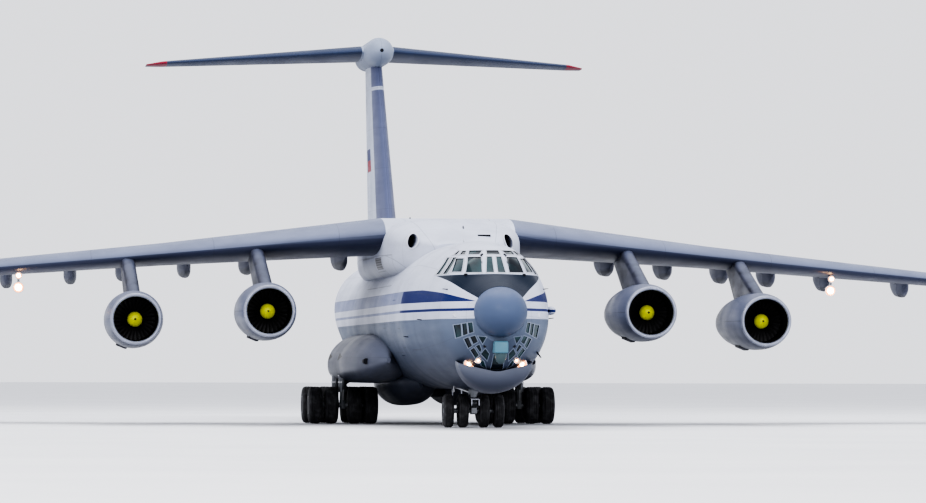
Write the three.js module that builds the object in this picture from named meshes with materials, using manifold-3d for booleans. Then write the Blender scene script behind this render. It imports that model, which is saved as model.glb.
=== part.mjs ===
// Four-engined military transport plane with a high swept wing and a T-tail, as a 1:2 scale model.
// Model millimetres, +Z up, nose towards -Y, port (the plane's left) towards +X.
// The origin is on the ground under the middle of the plane's length and span.
// All stated sizes are full-size metres. "Station" is the distance aft of the nose tip,
// "height" is above the ground, and "out" is the distance from the plane of symmetry.

import * as THREE from "three";
import { mergeVertices } from "three/addons/utils/BufferGeometryUtils.js";
import Module from "manifold-3d";

const wasm = await Module();
wasm.setup();

// Driving dimensions, full-size metres
const LENGTH = 46.59;
const SPAN = 50.5;
const HEIGHT = 14.76;
const FUSELAGE_RADIUS = 2.4;
const FUSELAGE_AXIS = 3.63;
const FLOOR_HEIGHT = 2.2;
const WALL = 0.14;
const MODEL = 500; // model millimetres in one full-size metre, at 1:2
const TOUCH = 0.0008; // gap left between fixed pieces that meet, 0.4 mm on the model
const CLEAR = 0.018; // gap round moving pieces, 9 mm on the model

// Colours and finishes of the real surfaces
const finish = (color, roughness, metalness) => new THREE.MeshStandardMaterial({ color, roughness, metalness });
const WHITE_PAINT = finish(0xd9dce4, 0.45, 0.1);
const GREY_PAINT = finish(0x9ba2b0, 0.5, 0.15);
const RADOME_GREY = finish(0x7d8ba3, 0.55, 0.0);
const BARE_METAL = finish(0xb4b8be, 0.35, 0.8);
const DARK_METAL = finish(0x34373c, 0.5, 0.6);
const SPINNER_YELLOW = finish(0xd6d22a, 0.45, 0.1);
const RUBBER = finish(0x17181b, 0.85, 0.0);
const GLASS = finish(0x27343d, 0.1, 0.0);
const CABIN = finish(0x6b7f7c, 0.7, 0.0);

// Full-size metres to a model point
const point = (out, station, height) =>
  new THREE.Vector3(out * MODEL, (station - LENGTH / 2) * MODEL, height * MODEL);
const lerp = (a, b, t) => a + (b - a) * t;

// Solids
function geometryVolume(positions, triangles) {
  let volume = 0;
  for (let i = 0; i < triangles.length; i += 3) {
    const [a, b, c] = [0, 1, 2].map((k) => positions[triangles[i + k]]);
    volume += a.dot(b.clone().cross(c));
  }
  return volume;
}

// Closed skin over rings of points with equal counts; a ring of one point is a tip.
function loft(rings) {
  const positions = rings.flat();
  const triangles = [];
  const starts = [];
  let count = 0;
  for (const ring of rings) {
    starts.push(count);
    count += ring.length;
  }
  for (let r = 0; r + 1 < rings.length; r++) {
    const [na, nb] = [rings[r].length, rings[r + 1].length];
    const [a, b] = [starts[r], starts[r + 1]];
    const n = Math.max(na, nb);
    for (let i = 0; i < n; i++) {
      const j = (i + 1) % n;
      if (na > 1) triangles.push(a + i, a + j, nb > 1 ? b + i : b);
      if (nb > 1) triangles.push(na > 1 ? a + j : a, b + j, b + i);
    }
  }
  for (const [r, flip] of [[0, true], [rings.length - 1, false]]) {
    const ring = rings[r];
    if (ring.length < 3) continue;
    const middle = new THREE.Vector3();
    for (const p of ring) middle.addScaledVector(p, 1 / ring.length);
    positions.push(middle);
    for (let i = 0; i < ring.length; i++) {
      const pair = [starts[r] + i, starts[r] + ((i + 1) % ring.length)];
      if (flip) pair.reverse();
      triangles.push(...pair, positions.length - 1);
    }
  }
  if (geometryVolume(positions, triangles) < 0) triangles.reverse();
  const geometry = new THREE.BufferGeometry();
  geometry.setAttribute("position", new THREE.Float32BufferAttribute(positions.flatMap((p) => p.toArray()), 3));
  geometry.setIndex(triangles);
  return geometry;
}

function solid(geometry, matrix) {
  const bare = new THREE.BufferGeometry();
  bare.setAttribute("position", geometry.getAttribute("position").clone());
  if (geometry.index) bare.setIndex(geometry.index.clone());
  if (matrix) bare.applyMatrix4(matrix);
  const merged = mergeVertices(bare, 1e-3);
  return new wasm.Manifold(
    new wasm.Mesh({
      numProp: 3,
      vertProperties: merged.attributes.position.array,
      triVerts: new Uint32Array(merged.index.array),
    }),
  );
}

function geometryOf(made) {
  const mesh = made.getMesh();
  const geometry = new THREE.BufferGeometry();
  const points = new Float32Array(mesh.numVert * 3);
  for (let i = 0; i < mesh.numVert; i++) {
    points.set(mesh.vertProperties.subarray(i * mesh.numProp, i * mesh.numProp + 3), i * 3);
  }
  geometry.setAttribute("position", new THREE.BufferAttribute(points, 3));
  geometry.setIndex(new THREE.BufferAttribute(mesh.triVerts, 1));
  return geometry;
}

// Box between two corners given as [out, station, height]
function box(low, high) {
  const [a, b] = [point(...low), point(...high)];
  const size = b.clone().sub(a);
  const geometry = new THREE.BoxGeometry(Math.abs(size.x), size.y, size.z);
  return solid(geometry, new THREE.Matrix4().makeTranslation(...a.add(b).multiplyScalar(0.5).toArray()));
}

// Round bar or cone between two model points
function bar(from, to, radiusFrom, radiusTo = radiusFrom, sides = 10) {
  const along = to.clone().sub(from);
  const geometry = new THREE.CylinderGeometry(radiusTo * MODEL, radiusFrom * MODEL, along.length(), sides);
  const turn = new THREE.Quaternion().setFromUnitVectors(new THREE.Vector3(0, 1, 0), along.clone().normalize());
  const middle = from.clone().add(to).multiplyScalar(0.5);
  return solid(geometry, new THREE.Matrix4().compose(middle, turn, new THREE.Vector3(1, 1, 1)));
}

// Upright or fore-and-aft prism: a closed outline of [a, b] pairs pushed along the third axis
function prism(plane, outline, from, to) {
  const place = {
    side: (a, b, c) => point(c, a, b), // outline of [station, height], pushed outwards
    front: (a, b, c) => point(a, c, b), // outline of [out, height], pushed aft
    plan: (a, b, c) => point(a, b, c), // outline of [out, station], pushed up
  }[plane];
  return solid(loft([from, to].map((c) => outline.map(([a, b]) => place(a, b, c)))));
}

// Fuselage
// Columns: station, top height, belly height, half width, height of the widest point
const NOSE_FRAMES = [
  [1.15, 4.46, 2.72, 0.8, 3.62],
  [1.6, 4.62, 2.2, 1.05, 3.52],
  [2.2, 4.87, 1.84, 1.36, 3.44],
  [3.0, 5.52, 1.62, 1.7, 3.46],
  [4.2, 5.84, 1.43, 2.03, 3.55],
  [6.0, 5.99, 1.29, 2.28, 3.61],
  [8.4, 6.03, 1.23, 2.4, 3.63],
];
const TAIL_FRAMES = [
  [26.8, 6.03, 1.23, 2.4, 3.63],
  [29.5, 6.03, 1.34, 2.4, 3.7],
  [32.2, 6.02, 1.93, 2.35, 4.0],
  [35.5, 5.96, 2.83, 2.03, 4.38],
  [38.6, 5.87, 3.62, 1.53, 4.7],
  [41.5, 5.7, 4.26, 0.96, 4.96],
  [42.9, 5.5, 4.66, 0.52, 5.07],
  [43.25, 5.28, 4.92, 0.2, 5.1],
];
const NOSE_END = 9.6;
const HOLD_END = 26.8;
const HOOP_POINTS = 28;
const LINING_POINTS = 20; // sides of the hollows inside

// One fuselage hoop, drawn in by an inset
function hoop([station, top, belly, halfWidth, wide], inset = 0, sides = HOOP_POINTS) {
  return Array.from({ length: sides }, (_, i) => {
    const angle = (i / sides) * 2 * Math.PI;
    const rise = (Math.sin(angle) > 0 ? top - wide : wide - belly) - inset;
    return point((halfWidth - inset) * Math.cos(angle), station, wide + rise * Math.sin(angle));
  });
}

function body(frames, inset = 0, front = 0, back = 0, sides = HOOP_POINTS) {
  const moved = frames.map((frame) => [...frame]);
  moved[0][0] += front;
  moved[moved.length - 1][0] += back;
  return solid(loft(moved.map((frame) => hoop(frame, inset, sides))));
}
const PAST_JOINT = 0.2; // how far a hollow is drawn past the joint that it opens into
const hollow = (frames, back, less = 0) => body(frames, WALL + less, WALL + less, back, LINING_POINTS);

const barrelFrame = (station) => [
  station,
  FUSELAGE_AXIS + FUSELAGE_RADIUS,
  FUSELAGE_AXIS - FUSELAGE_RADIUS,
  FUSELAGE_RADIUS,
  FUSELAGE_AXIS,
];
const noseFrames = [...NOSE_FRAMES, barrelFrame(NOSE_END)];
const holdFrames = [barrelFrame(NOSE_END), barrelFrame(HOLD_END)];

// The whole fuselage as one outer form a hair larger than the real one, for cutting what rests on it
const fuselageFrames = [...NOSE_FRAMES, ...TAIL_FRAMES];
const fuselageCutter = body(fuselageFrames, -TOUCH);

// Windows of the flight deck, seen from the front on the port side; they are mirrored to starboard.
// Columns: inner and outer edge at the sill, inner and outer edge at the head (metres out)
const WINDSCREEN_PANES = [
  [0.06, 0.3, 0.05, 0.23],
  [0.43, 0.92, 0.36, 0.76],
  [1.07, 1.4, 0.9, 1.13],
  [1.52, 1.86, 1.23, 1.62],
];
const WINDSCREEN_SILL = 4.93;
const WINDSCREEN_HEAD = 5.41;
// Navigator's panes in the lower nose, as quadrilaterals of [out, height] seen from the front, port side
const NAVIGATOR_PANES = [
  [[0.9, 3.26], [1.5, 3.14], [1.42, 2.84], [0.86, 2.94]],
  [[0.5, 2.84], [0.94, 2.8], [0.6, 2.24], [0.4, 2.34]],
];
const NAVIGATOR_MIDDLE_PANE = [[-0.19, 2.36], [0.19, 2.36], [0.21, 1.95], [-0.21, 1.95]];
const GLASS_RECESS = 0.05;
const GLASS_THICKNESS = 0.035;
const PANE_REACH = [1.0, 5.6]; // stations between which the panes are cut

const mirrored = (outline) => outline.map(([out, height]) => [-out, height]).reverse();

function paneCutters() {
  const cutters = [];
  const cut = (outline) => cutters.push(prism("front", outline, ...PANE_REACH));
  const both = (outline) => [outline, mirrored(outline)].forEach(cut);
  for (const [a, b, c, d] of WINDSCREEN_PANES) {
    both([[a, WINDSCREEN_SILL], [b, WINDSCREEN_SILL], [d, WINDSCREEN_HEAD], [c, WINDSCREEN_HEAD]]);
  }
  NAVIGATOR_PANES.forEach(both);
  cut(NAVIGATOR_MIDDLE_PANE);
  return cutters;
}

// Bands of the nose behind which the glass lies
const UPPER_BAND = { low: [-2.0, 1.7, 4.86], high: [2.0, 5.5, 5.48] };
const LOWER_BAND = { low: [-1.62, 1.0, 1.88], high: [1.62, 3.1, 3.32] };
const bandBox = ({ low, high }, inset = 0) => box(low.map((v) => v + inset), high.map((v) => v - inset));

// The wall is thinner behind the panes, and one sheet of glass lines it there
const thinWall = (band) => body(noseFrames, GLASS_RECESS, GLASS_RECESS, 0).intersect(bandBox(band));
function glassSheet(band) {
  const face = GLASS_RECESS + TOUCH;
  const back = face + GLASS_THICKNESS;
  return body(noseFrames, face, face, 0).subtract(body(noseFrames, back, back, 1)).intersect(bandBox(band, TOUCH));
}

// Flight deck: floor, instrument panel and two seats, joined by the floor
const DECK = { height: 4.05, thick: 0.1, front: 2.7, back: 7.4 };
const PANEL = { half: 1.15, front: 2.95, back: 3.3, top: 4.72 };
const SEAT = { near: 0.35, far: 0.9, front: 4.1, middle: 4.55, back: 4.72, seat: 4.45, top: 5.25 };
function flightDeck() {
  const hull = hollow(noseFrames, -0.05, TOUCH);
  const sunk = DECK.height - DECK.thick / 2;
  const floor = box([-FUSELAGE_RADIUS, DECK.front, DECK.height - DECK.thick], [FUSELAGE_RADIUS, DECK.back, DECK.height]);
  const panel = box([-PANEL.half, PANEL.front, sunk], [PANEL.half, PANEL.back, PANEL.top]);
  let deck = floor.add(panel).intersect(hull);
  for (const side of [-1, 1]) {
    const [near, far] = [side * SEAT.near, side * SEAT.far].sort((a, b) => a - b);
    deck = deck.add(box([near, SEAT.front, sunk], [far, SEAT.back, SEAT.seat]));
    deck = deck.add(box([near, SEAT.middle, sunk], [far, SEAT.back, SEAT.top]));
  }
  return deck;
}

// Crew entry doors, one on each side of the hold's forward end, hinged at the front edge
const ENTRY = { front: 10.3, back: 11.2, sill: 2.35, head: 4.15 };
const ENTRY_HINGE = FUSELAGE_RADIUS + 0.01;
// The doorway's rear edge is round about the hinge, which gives the door an even gap as it swings
const ENTRY_SWEEP = { from: -0.1, to: 0.8, steps: 6 }; // radians inwards from the door's rear edge
function entryPrism(side, grow) {
  const radius = ENTRY.back - ENTRY.front + grow;
  const { from, to, steps } = ENTRY_SWEEP;
  const sweep = Array.from({ length: steps + 1 }, (_, i) => {
    const angle = lerp(from, to, i / steps);
    return [side * (ENTRY_HINGE - radius * Math.sin(angle)), ENTRY.front + radius * Math.cos(angle)];
  });
  const inner = sweep[steps][0];
  const outline = [...sweep, [inner, ENTRY.front - grow], [sweep[0][0], ENTRY.front - grow]];
  return prism("plan", side > 0 ? outline : outline.reverse(), ENTRY.sill - grow, ENTRY.head + grow);
}

const holdShell = () => body(holdFrames).subtract(hollow(holdFrames, PAST_JOINT));

// The hold's floor fills the belly below the floor height
function holdSection() {
  const shell = holdShell();
  const floor = body(holdFrames, WALL / 2, WALL / 2, 0).intersect(
    box([-2.4, NOSE_END + WALL / 2, FUSELAGE_AXIS - FUSELAGE_RADIUS], [2.4, HOLD_END, FLOOR_HEIGHT]),
  );
  let made = shell.add(floor);
  for (const side of [-1, 1]) made = made.subtract(entryPrism(side, CLEAR));
  return made;
}

// Rear fuselage with its cargo opening. The ramp is hinged low in the belly and its front end is round about
// that hinge, so the hold's floor stays close to it as it swings down. The two side doors are hinged along
// their upper edges, and the middle door is hinged at its rear edge and swings up inside.
const TAIL_JOINT = HOLD_END + TOUCH;
const RAMP = { hinge: 28.0, hingeHeight: 1.34, floor: 2.19, slope: 0.14, reach: 4.2, halfWidth: 1.72 };
const DOORS = { front: 32.22, back: 38.3, sideBack: 38.2, middleHalf: 0.62, middleHinge: 3.95 };
const PETAL_HINGE = { front: [2.31, 32.22, 3.35], back: [1.56, 38.3, 4.28] };

const tailFrames = TAIL_FRAMES.map((frame, i) => (i === 0 ? [TAIL_JOINT, ...frame.slice(1)] : frame));
const tailOuter = () => body(tailFrames);
const hollowTail = () => body(tailFrames, WALL, -PAST_JOINT, -WALL, LINING_POINTS);
const tailShell = () => tailOuter().subtract(hollowTail());

// Side outline of the ramp: both ends are round about the hinge, and the top rises to the rear
const RAMP_STEPS = 8;
const RAMP_SWEEP = Math.PI * 0.75; // angle that the round front end covers
const UNDER_BELLY = 0.8; // height of the lower end of every cut through the belly
function rampPrism(grow) {
  const { hinge, hingeHeight } = RAMP;
  const nose = RAMP.floor - hingeHeight;
  const tilt = Math.atan(RAMP.slope);
  const outside = grow > 0 ? 1 / Math.cos(RAMP_SWEEP / RAMP_STEPS / 2) : 1; // a cut is never nearer than its radius
  const at = (radius, angle) => [hinge + radius * Math.cos(angle), hingeHeight + radius * Math.sin(angle)];
  const front = Array.from({ length: RAMP_STEPS + 1 }, (_, i) => {
    const angle = Math.PI / 2 + tilt + (i / RAMP_STEPS) * RAMP_SWEEP;
    return at((nose + grow) * outside, angle);
  });
  const reach = RAMP.reach + grow;
  const topAngle = tilt + Math.asin((nose + grow) / reach);
  const back = [0, 1, 2, 3].map((i) => at(reach, (i / 3) * topAngle));
  const outline = [...front, [hinge, UNDER_BELLY], [hinge + reach, UNDER_BELLY], ...back];
  return prism("side", outline, -RAMP.halfWidth - grow, RAMP.halfWidth + grow);
}

// Half width of the cargo opening behind the ramp, along the petal doors' hinge line
function petalHinge(station) {
  const t = (station - PETAL_HINGE.front[1]) / (PETAL_HINGE.back[1] - PETAL_HINGE.front[1]);
  return PETAL_HINGE.front.map((value, k) => lerp(value, PETAL_HINGE.back[k], t));
}

// Region of one side door: below its hinge line, outside the middle door
function petalPrism(side, grow) {
  const inner = DOORS.middleHalf + (grow > 0 ? -grow : CLEAR);
  const back = grow > 0 ? DOORS.back + grow : DOORS.sideBack;
  const rings = [DOORS.front - grow, back].map((station) => {
    const [out, , height] = petalHinge(station);
    return [
      [inner, height + grow],
      [out + 0.4, height + grow],
      [out + 0.4, UNDER_BELLY],
      [inner, UNDER_BELLY],
    ].map(([x, z]) => point(side * x, station, z));
  });
  return solid(loft(rings));
}

function middlePrism(grow) {
  const half = DOORS.middleHalf + grow;
  return box([-half, DOORS.front - grow, UNDER_BELLY], [half, DOORS.back + grow, 4.3]);
}

function tailSection() {
  const floorBlock = box([-FUSELAGE_RADIUS, TAIL_JOINT, UNDER_BELLY], [FUSELAGE_RADIUS, RAMP.hinge, FLOOR_HEIGHT]);
  const floor = body(tailFrames, WALL / 2, 0, 0).intersect(floorBlock);
  const [low, high] = [DOORS.front - 0.35, DOORS.front + CLEAR];
  const half = RAMP.halfWidth + CLEAR;
  const behindRamp = box([-half, low, UNDER_BELLY], [half, high, 3.0]);
  let made = tailShell().add(floor).subtract(rampPrism(CLEAR)).subtract(behindRamp).subtract(middlePrism(CLEAR));
  for (const side of [-1, 1]) made = made.subtract(petalPrism(side, CLEAR));
  return made;
}

const cargoRamp = () => tailOuter().intersect(rampPrism(0));
const sideDoor = (side) => tailShell().intersect(petalPrism(side, 0));
const middleDoor = () => tailShell().intersect(middlePrism(0));

// Nose radome: a blunt cap in front of the first frame, a little wider than it is tall
const RADOME = { halfWidth: 0.83, halfHeight: 0.785, height: 3.66, length: 1.15 };
const RADOME_STEPS = 5;
const ROUND_SIDES = 24;
function noseRadome() {
  const { halfWidth, halfHeight, height, length } = RADOME;
  const rings = Array.from({ length: RADOME_STEPS + 1 }, (_, i) => {
    if (i === 0) return [point(0, 0, height)];
    const angle = (i / RADOME_STEPS) * (Math.PI / 2);
    const [across, up] = [halfWidth, halfHeight].map((half) => half * Math.sin(angle));
    const station = length * (1 - Math.cos(angle));
    return hoop([station, height + up, height - up, across, height], 0, ROUND_SIDES);
  });
  return solid(loft(rings));
}

// A profile of [radius, distance aft] turned about the Y axis; it may be listed either way round
function turned(profile, sides) {
  const scaled = profile.map(([radius, aft]) => new THREE.Vector2(radius * MODEL, aft * MODEL));
  if (THREE.ShapeUtils.area(scaled) < 0) scaled.reverse();
  return new THREE.LatheGeometry(scaled, sides);
}

// The same about a fore-and-aft axis through a point
function revolve(profile, [out, station, height], sides) {
  const place = new THREE.Matrix4().makeTranslation(...point(out, station, height).toArray());
  return solid(turned(profile, sides), place);
}

// Chin radome under the nose, a bowl whose rim stands up at the sides.
// Columns: station, rim height at the side, rim height at the middle, belly height, half width
const CHIN_FRAMES = [
  [1.98, 1.86, 1.82, 1.74, 0.25],
  [2.1, 1.98, 1.82, 1.5, 0.8],
  [2.35, 2.08, 1.83, 1.3, 1.16],
  [2.9, 2.14, 1.9, 1.15, 1.2],
  [3.8, 2.14, 1.9, 1.11, 1.08],
  [4.8, 2.0, 1.8, 1.15, 0.9],
  [5.8, 1.8, 1.7, 1.2, 0.62],
  [6.8, 1.5, 1.45, 1.3, 0.15],
];
const CHIN_STEPS = 10;
function chinRadome() {
  const rings = CHIN_FRAMES.map(([station, side, middle, belly, half]) => {
    const angles = Array.from({ length: CHIN_STEPS + 1 }, (_, i) => (i / CHIN_STEPS) * Math.PI);
    const under = angles.map((a) => point(half * Math.cos(a), station, side - (side - belly) * Math.sin(a)));
    const inner = angles.slice(1, -1).reverse().map(Math.cos);
    const top = inner.map((t) => point(half * t, station, middle + (side - middle) * t * t));
    return [...under, ...top];
  });
  return solid(loft(rings)).subtract(fuselageCutter);
}

// Observation box under the radome, and an aerial pod on the port side
const SENSOR = { half: 0.215, front: 0.82, back: 1.75, bottom: 2.38, top: 2.76 };
const AERIAL_POD = { out: 2.5, height: 3.78, front: 8.7, back: 9.5, radius: 0.13 };
const RADOME_SEAT = { radius: 0.85, front: -0.2 }; // room cut for the radome in the first frame
function noseSection() {
  const [s, a, seat] = [SENSOR, AERIAL_POD, RADOME_SEAT];
  const podEnds = [a.front, a.back].map((station) => point(a.out, station, a.height));
  const seatEnds = [seat.front, RADOME.length + TOUCH].map((station) => point(0, station, RADOME.height));
  let made = body(noseFrames)
    .add(box([-s.half, s.front, s.bottom], [s.half, s.back, s.top]))
    .add(bar(...podEnds, a.radius))
    .subtract(hollow(noseFrames, PAST_JOINT))
    .subtract(bar(...seatEnds, seat.radius, seat.radius, ROUND_SIDES));
  for (const band of [UPPER_BAND, LOWER_BAND]) made = made.subtract(thinWall(band));
  for (const cutter of paneCutters()) made = made.subtract(cutter);
  return made;
}

// Wing
const WING = {
  leadRoot: 14.9, // station of the leading edge at the reference rib
  reference: 2.25,
  leadSlope: 0.5317,
  rakeOut: 24.7, // outside this the leading edge sweeps back more, by the slope below
  rakeSlope: 0.8,
  droop: 0.07, // fall of the chord plane per metre out
  rootHeight: 6.28,
};
const WING_ROOT = 2.2; // metres out, where the wing meets the centre section
// Columns: metres out, chord, thickness over chord, nose-up incidence in degrees
const WING_RIBS = [
  [WING_ROOT, 9.62, 0.13, 2.17],
  [9.5, 6.2, 0.125, 1.5],
  [WING.rakeOut, 2.73, 0.11, 0],
  [SPAN / 2, 1.9, 0.07, 0],
];
const RIB_STEPS = [0, 0.012, 0.05, 0.14, 0.3, 0.5, 0.7, 0.86, 1];
const CAMBER = 0.014;

const halfThickness = (t, thick) =>
  5 * thick * (0.2969 * Math.sqrt(t) - 0.126 * t - 0.3516 * t * t + 0.2843 * t ** 3 - 0.1015 * t ** 4);

function ribAt(out) {
  const last = WING_RIBS.length - 1;
  let k = 0;
  while (k < last - 1 && out > WING_RIBS[k + 1][0]) k++;
  const [a, b] = [WING_RIBS[k], WING_RIBS[k + 1]];
  const t = (out - a[0]) / (b[0] - a[0]);
  const [chord, thick, incidence] = [1, 2, 3].map((c) => lerp(a[c], b[c], t));
  const rake = Math.max(0, out - WING.rakeOut) * WING.rakeSlope;
  const lead = WING.leadRoot + (out - WING.reference) * WING.leadSlope + rake;
  const height = WING.rootHeight - (out - WING.reference) * WING.droop;
  return { lead, height, chord, thick, tilt: (incidence * Math.PI) / 180 };
}

// A point of a rib: share of the chord from the leading edge, and side 1 for the top, -1 below, 0 between
function wingPoint(out, share, side) {
  const rib = ribAt(out);
  const rise = CAMBER * 4 * share * (1 - share) + side * halfThickness(share, rib.thick);
  const along = rib.chord * (share - 0.4);
  const up = rib.chord * rise;
  return [
    rib.lead + rib.chord * 0.4 + along * Math.cos(rib.tilt) + up * Math.sin(rib.tilt),
    rib.height - along * Math.sin(rib.tilt) + up * Math.cos(rib.tilt),
  ];
}

function wingRing(side, out) {
  const top = RIB_STEPS.slice().reverse().map((share) => wingPoint(out, share, 1));
  const under = RIB_STEPS.slice(1).map((share) => wingPoint(out, share, -1));
  return [...top, ...under].map(([station, height]) => point(side * out, station, height));
}

const wholeWing = (side) => solid(loft(WING_RIBS.map(([out]) => wingRing(side, out))));

// The wing a little larger at its nose and underside
function grownWing(side, grow) {
  const rings = WING_RIBS.map(([out]) => {
    const rib = ribAt(out);
    return wingRing(side, out).map((p) => {
      const nose = p.y < point(0, rib.lead + rib.chord * 0.03, 0).y;
      const under = p.z < point(0, 0, wingPoint(out, 0.02, 0)[1]).z || !nose;
      return p.add(new THREE.Vector3(0, nose ? -grow * MODEL : 0, under ? -grow * MODEL : 0));
    });
  });
  return solid(loft(rings));
}

// All that lies above the wing's chord plane, and above that plane drawn on ahead of the wing
const AHEAD = 1.5;
function aboveWing(side) {
  const rings = [2.0, 24.0].map((out) => {
    const [front, back] = [wingPoint(out, 0, 0), wingPoint(out, 1, 0)];
    return [
      [front[0] - AHEAD, front[1]],
      front,
      back,
      [back[0], back[1] + 3],
      [front[0] - AHEAD, front[1] + 3],
    ].map(([station, height]) => point(side * out, station, height));
  });
  return solid(loft(rings));
}

// Trailing-edge surfaces. Columns: name, inner and outer end (metres out), share of the chord at the front,
// and how far past each end the wing is cut away, because a swept hinge line moves the flap sideways
const FLAPS = [
  ["inner", 2.8, 9.3, 0.72, 1.0, 0.15],
  ["outer", 9.55, 18.15, 0.72, 0.15, 0.03],
];
const AILERON = { inner: 18.3, outer: 24.6, share: 0.74 };
const FLAP_AXIS = { ahead: 0.35, below: 0.56 };
// Flap track fairings: metres out, by flap
const TRACKS = { inner: [3.12, 6.37, 8.52], outer: [10.67, 12.47, 14.7, 17.75] };

// The upright block that a flap fills, moved ahead by a gap, and longer at its ends by the room stated there
function flapPrism(side, [, inner, outer, share, innerRoom, outerRoom], ahead, room) {
  const ends = room ? [inner - innerRoom, outer + outerRoom] : [inner, outer];
  const fronts = [inner, outer].map((out) => wingPoint(out, share, 0)[0]);
  const rings = ends.map((out) => {
    const front = lerp(...fronts, (out - inner) / (outer - inner)) - ahead;
    const { lead, chord } = ribAt(out);
    const back = lead + chord + 1;
    return [
      [front, 7.6],
      [back, 7.6],
      [back, 3.6],
      [front, 3.6],
    ].map(([station, height]) => point(side * out, station, height));
  });
  return solid(loft(rings));
}

// The line that a flap turns about, just below and ahead of it
function flapAxis(side, [, inner, outer, share]) {
  return [inner, outer].map((out) => {
    const [station, height] = wingPoint(out, share, -1);
    return point(side * out, station - FLAP_AXIS.ahead, height - FLAP_AXIS.below);
  });
}

// Canoe-shaped fairing of one flap track, in a fixed front part and a rear part hung under the flap.
// Columns: share of the part's length, half width, depth below the wing's underside
const TRACK_NOSE_FRAMES = [
  [0, 0.03, 0.1],
  [0.35, 0.13, 0.38],
  [1, 0.21, 0.56],
];
const TRACK_TAIL_FRAMES = [
  [0, 0.21, 0.56],
  [0.3, 0.22, 0.56],
  [0.65, 0.17, 0.4],
  [1, 0.04, 0.1],
];
const TRACK_OVERHANG = 0.45; // how far the fairing runs past the trailing edge
const TRACK_NOSE_SHARE = 0.2; // length of the fixed front part over the wing's chord
function trackFairing(frames, side, out, from, to) {
  const { lead, chord } = ribAt(out);
  const rings = frames.map(([t, half, deep]) => {
    const station = lerp(from, to, t);
    const share = Math.min(0.97, (station - lead) / chord);
    const top = wingPoint(out, share, -1)[1] + 0.05;
    return [
      [half, top],
      [half, top - deep * 0.6],
      [half * 0.45, top - deep],
      [-half * 0.45, top - deep],
      [-half, top - deep * 0.6],
      [-half, top],
    ].map(([x, z]) => point(side * out + x, station, z));
  });
  return solid(loft(rings));
}
const trackJoint = (out, share) => wingPoint(out, share, -1)[0] - FLAP_AXIS.ahead;
function trackNose(side, out, share) {
  const joint = trackJoint(out, share);
  return trackFairing(TRACK_NOSE_FRAMES, side, out, joint - TRACK_NOSE_SHARE * ribAt(out).chord, joint - CLEAR);
}
function trackTail(side, out, share) {
  const { lead, chord } = ribAt(out);
  return trackFairing(TRACK_TAIL_FRAMES, side, out, trackJoint(out, share), lead + chord + TRACK_OVERHANG);
}

function flap(side, row) {
  let made = wholeWing(side).intersect(flapPrism(side, row, 0, false));
  const fixed = grownWing(side, CLEAR * 2).subtract(flapPrism(side, row, 0, true));
  for (const out of TRACKS[row[0]]) made = made.add(trackTail(side, out, row[3]).subtract(fixed));
  return made;
}

// A hinged surface behind a line given as two { at, radius }, with a round nose, between two level or upright ends
const NOSE_SIDES = 16;
const END_ROOM = 0.045; // gap at the ends of a surface whose hinge line is swept
const OVERRUN = 0.3; // share of the line's length drawn past each end before the ends are cut
function roundedRegion([first, last], reach, grow, ends) {
  const mix = (t) => ({ at: first.at.clone().lerp(last.at, t), radius: lerp(first.radius, last.radius, t) });
  const [a, b] = [mix(-OVERRUN), mix(1 + OVERRUN)];
  const outside = grow > 0 ? 1 / Math.cos(Math.PI / NOSE_SIDES) : 1; // a cut is never nearer than its radius
  const nose = bar(a.at, b.at, (a.radius + grow) * outside, (b.radius + grow) * outside, NOSE_SIDES);
  const along = b.at.clone().sub(a.at).normalize();
  const aft = new THREE.Vector3(0, 1, 0).addScaledVector(along, -along.y).normalize();
  const across = new THREE.Vector3().crossVectors(along, aft).normalize();
  const rings = [a, b].map(({ at }) =>
    [
      [-grow, reach.up],
      [reach.aft, reach.up],
      [reach.aft, -reach.up],
      [-grow, -reach.up],
    ].map(([back, up]) => at.clone().addScaledVector(aft, back * MODEL).addScaledVector(across, up * MODEL)),
  );
  return nose.add(solid(loft(rings))).intersect(ends);
}
const betweenOuts = (side, inner, outer) => {
  const [a, b] = [side * inner, side * outer].sort((p, q) => p - q);
  return box([a, 10, 0], [b, LENGTH + 1, HEIGHT + 1]);
};
const betweenHeights = (low, high) => box([-2, 10, low], [2, LENGTH + 1, high]);

function aileronLine(side) {
  return [AILERON.inner, AILERON.outer].map((out) => {
    const rib = ribAt(out);
    const [station, height] = wingPoint(out, AILERON.share, 0);
    return { at: point(side * out, station, height), radius: rib.chord * halfThickness(AILERON.share, rib.thick) };
  });
}
const AILERON_REACH = { aft: 1.8, up: 0.6 };
const aileronRegion = (side, grow) => {
  const room = grow > 0 ? END_ROOM : 0;
  const ends = betweenOuts(side, AILERON.inner - room, AILERON.outer + room);
  return roundedRegion(aileronLine(side), AILERON_REACH, grow, ends);
};
const aileron = (side) => wholeWing(side).intersect(aileronRegion(side, 0));

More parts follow.
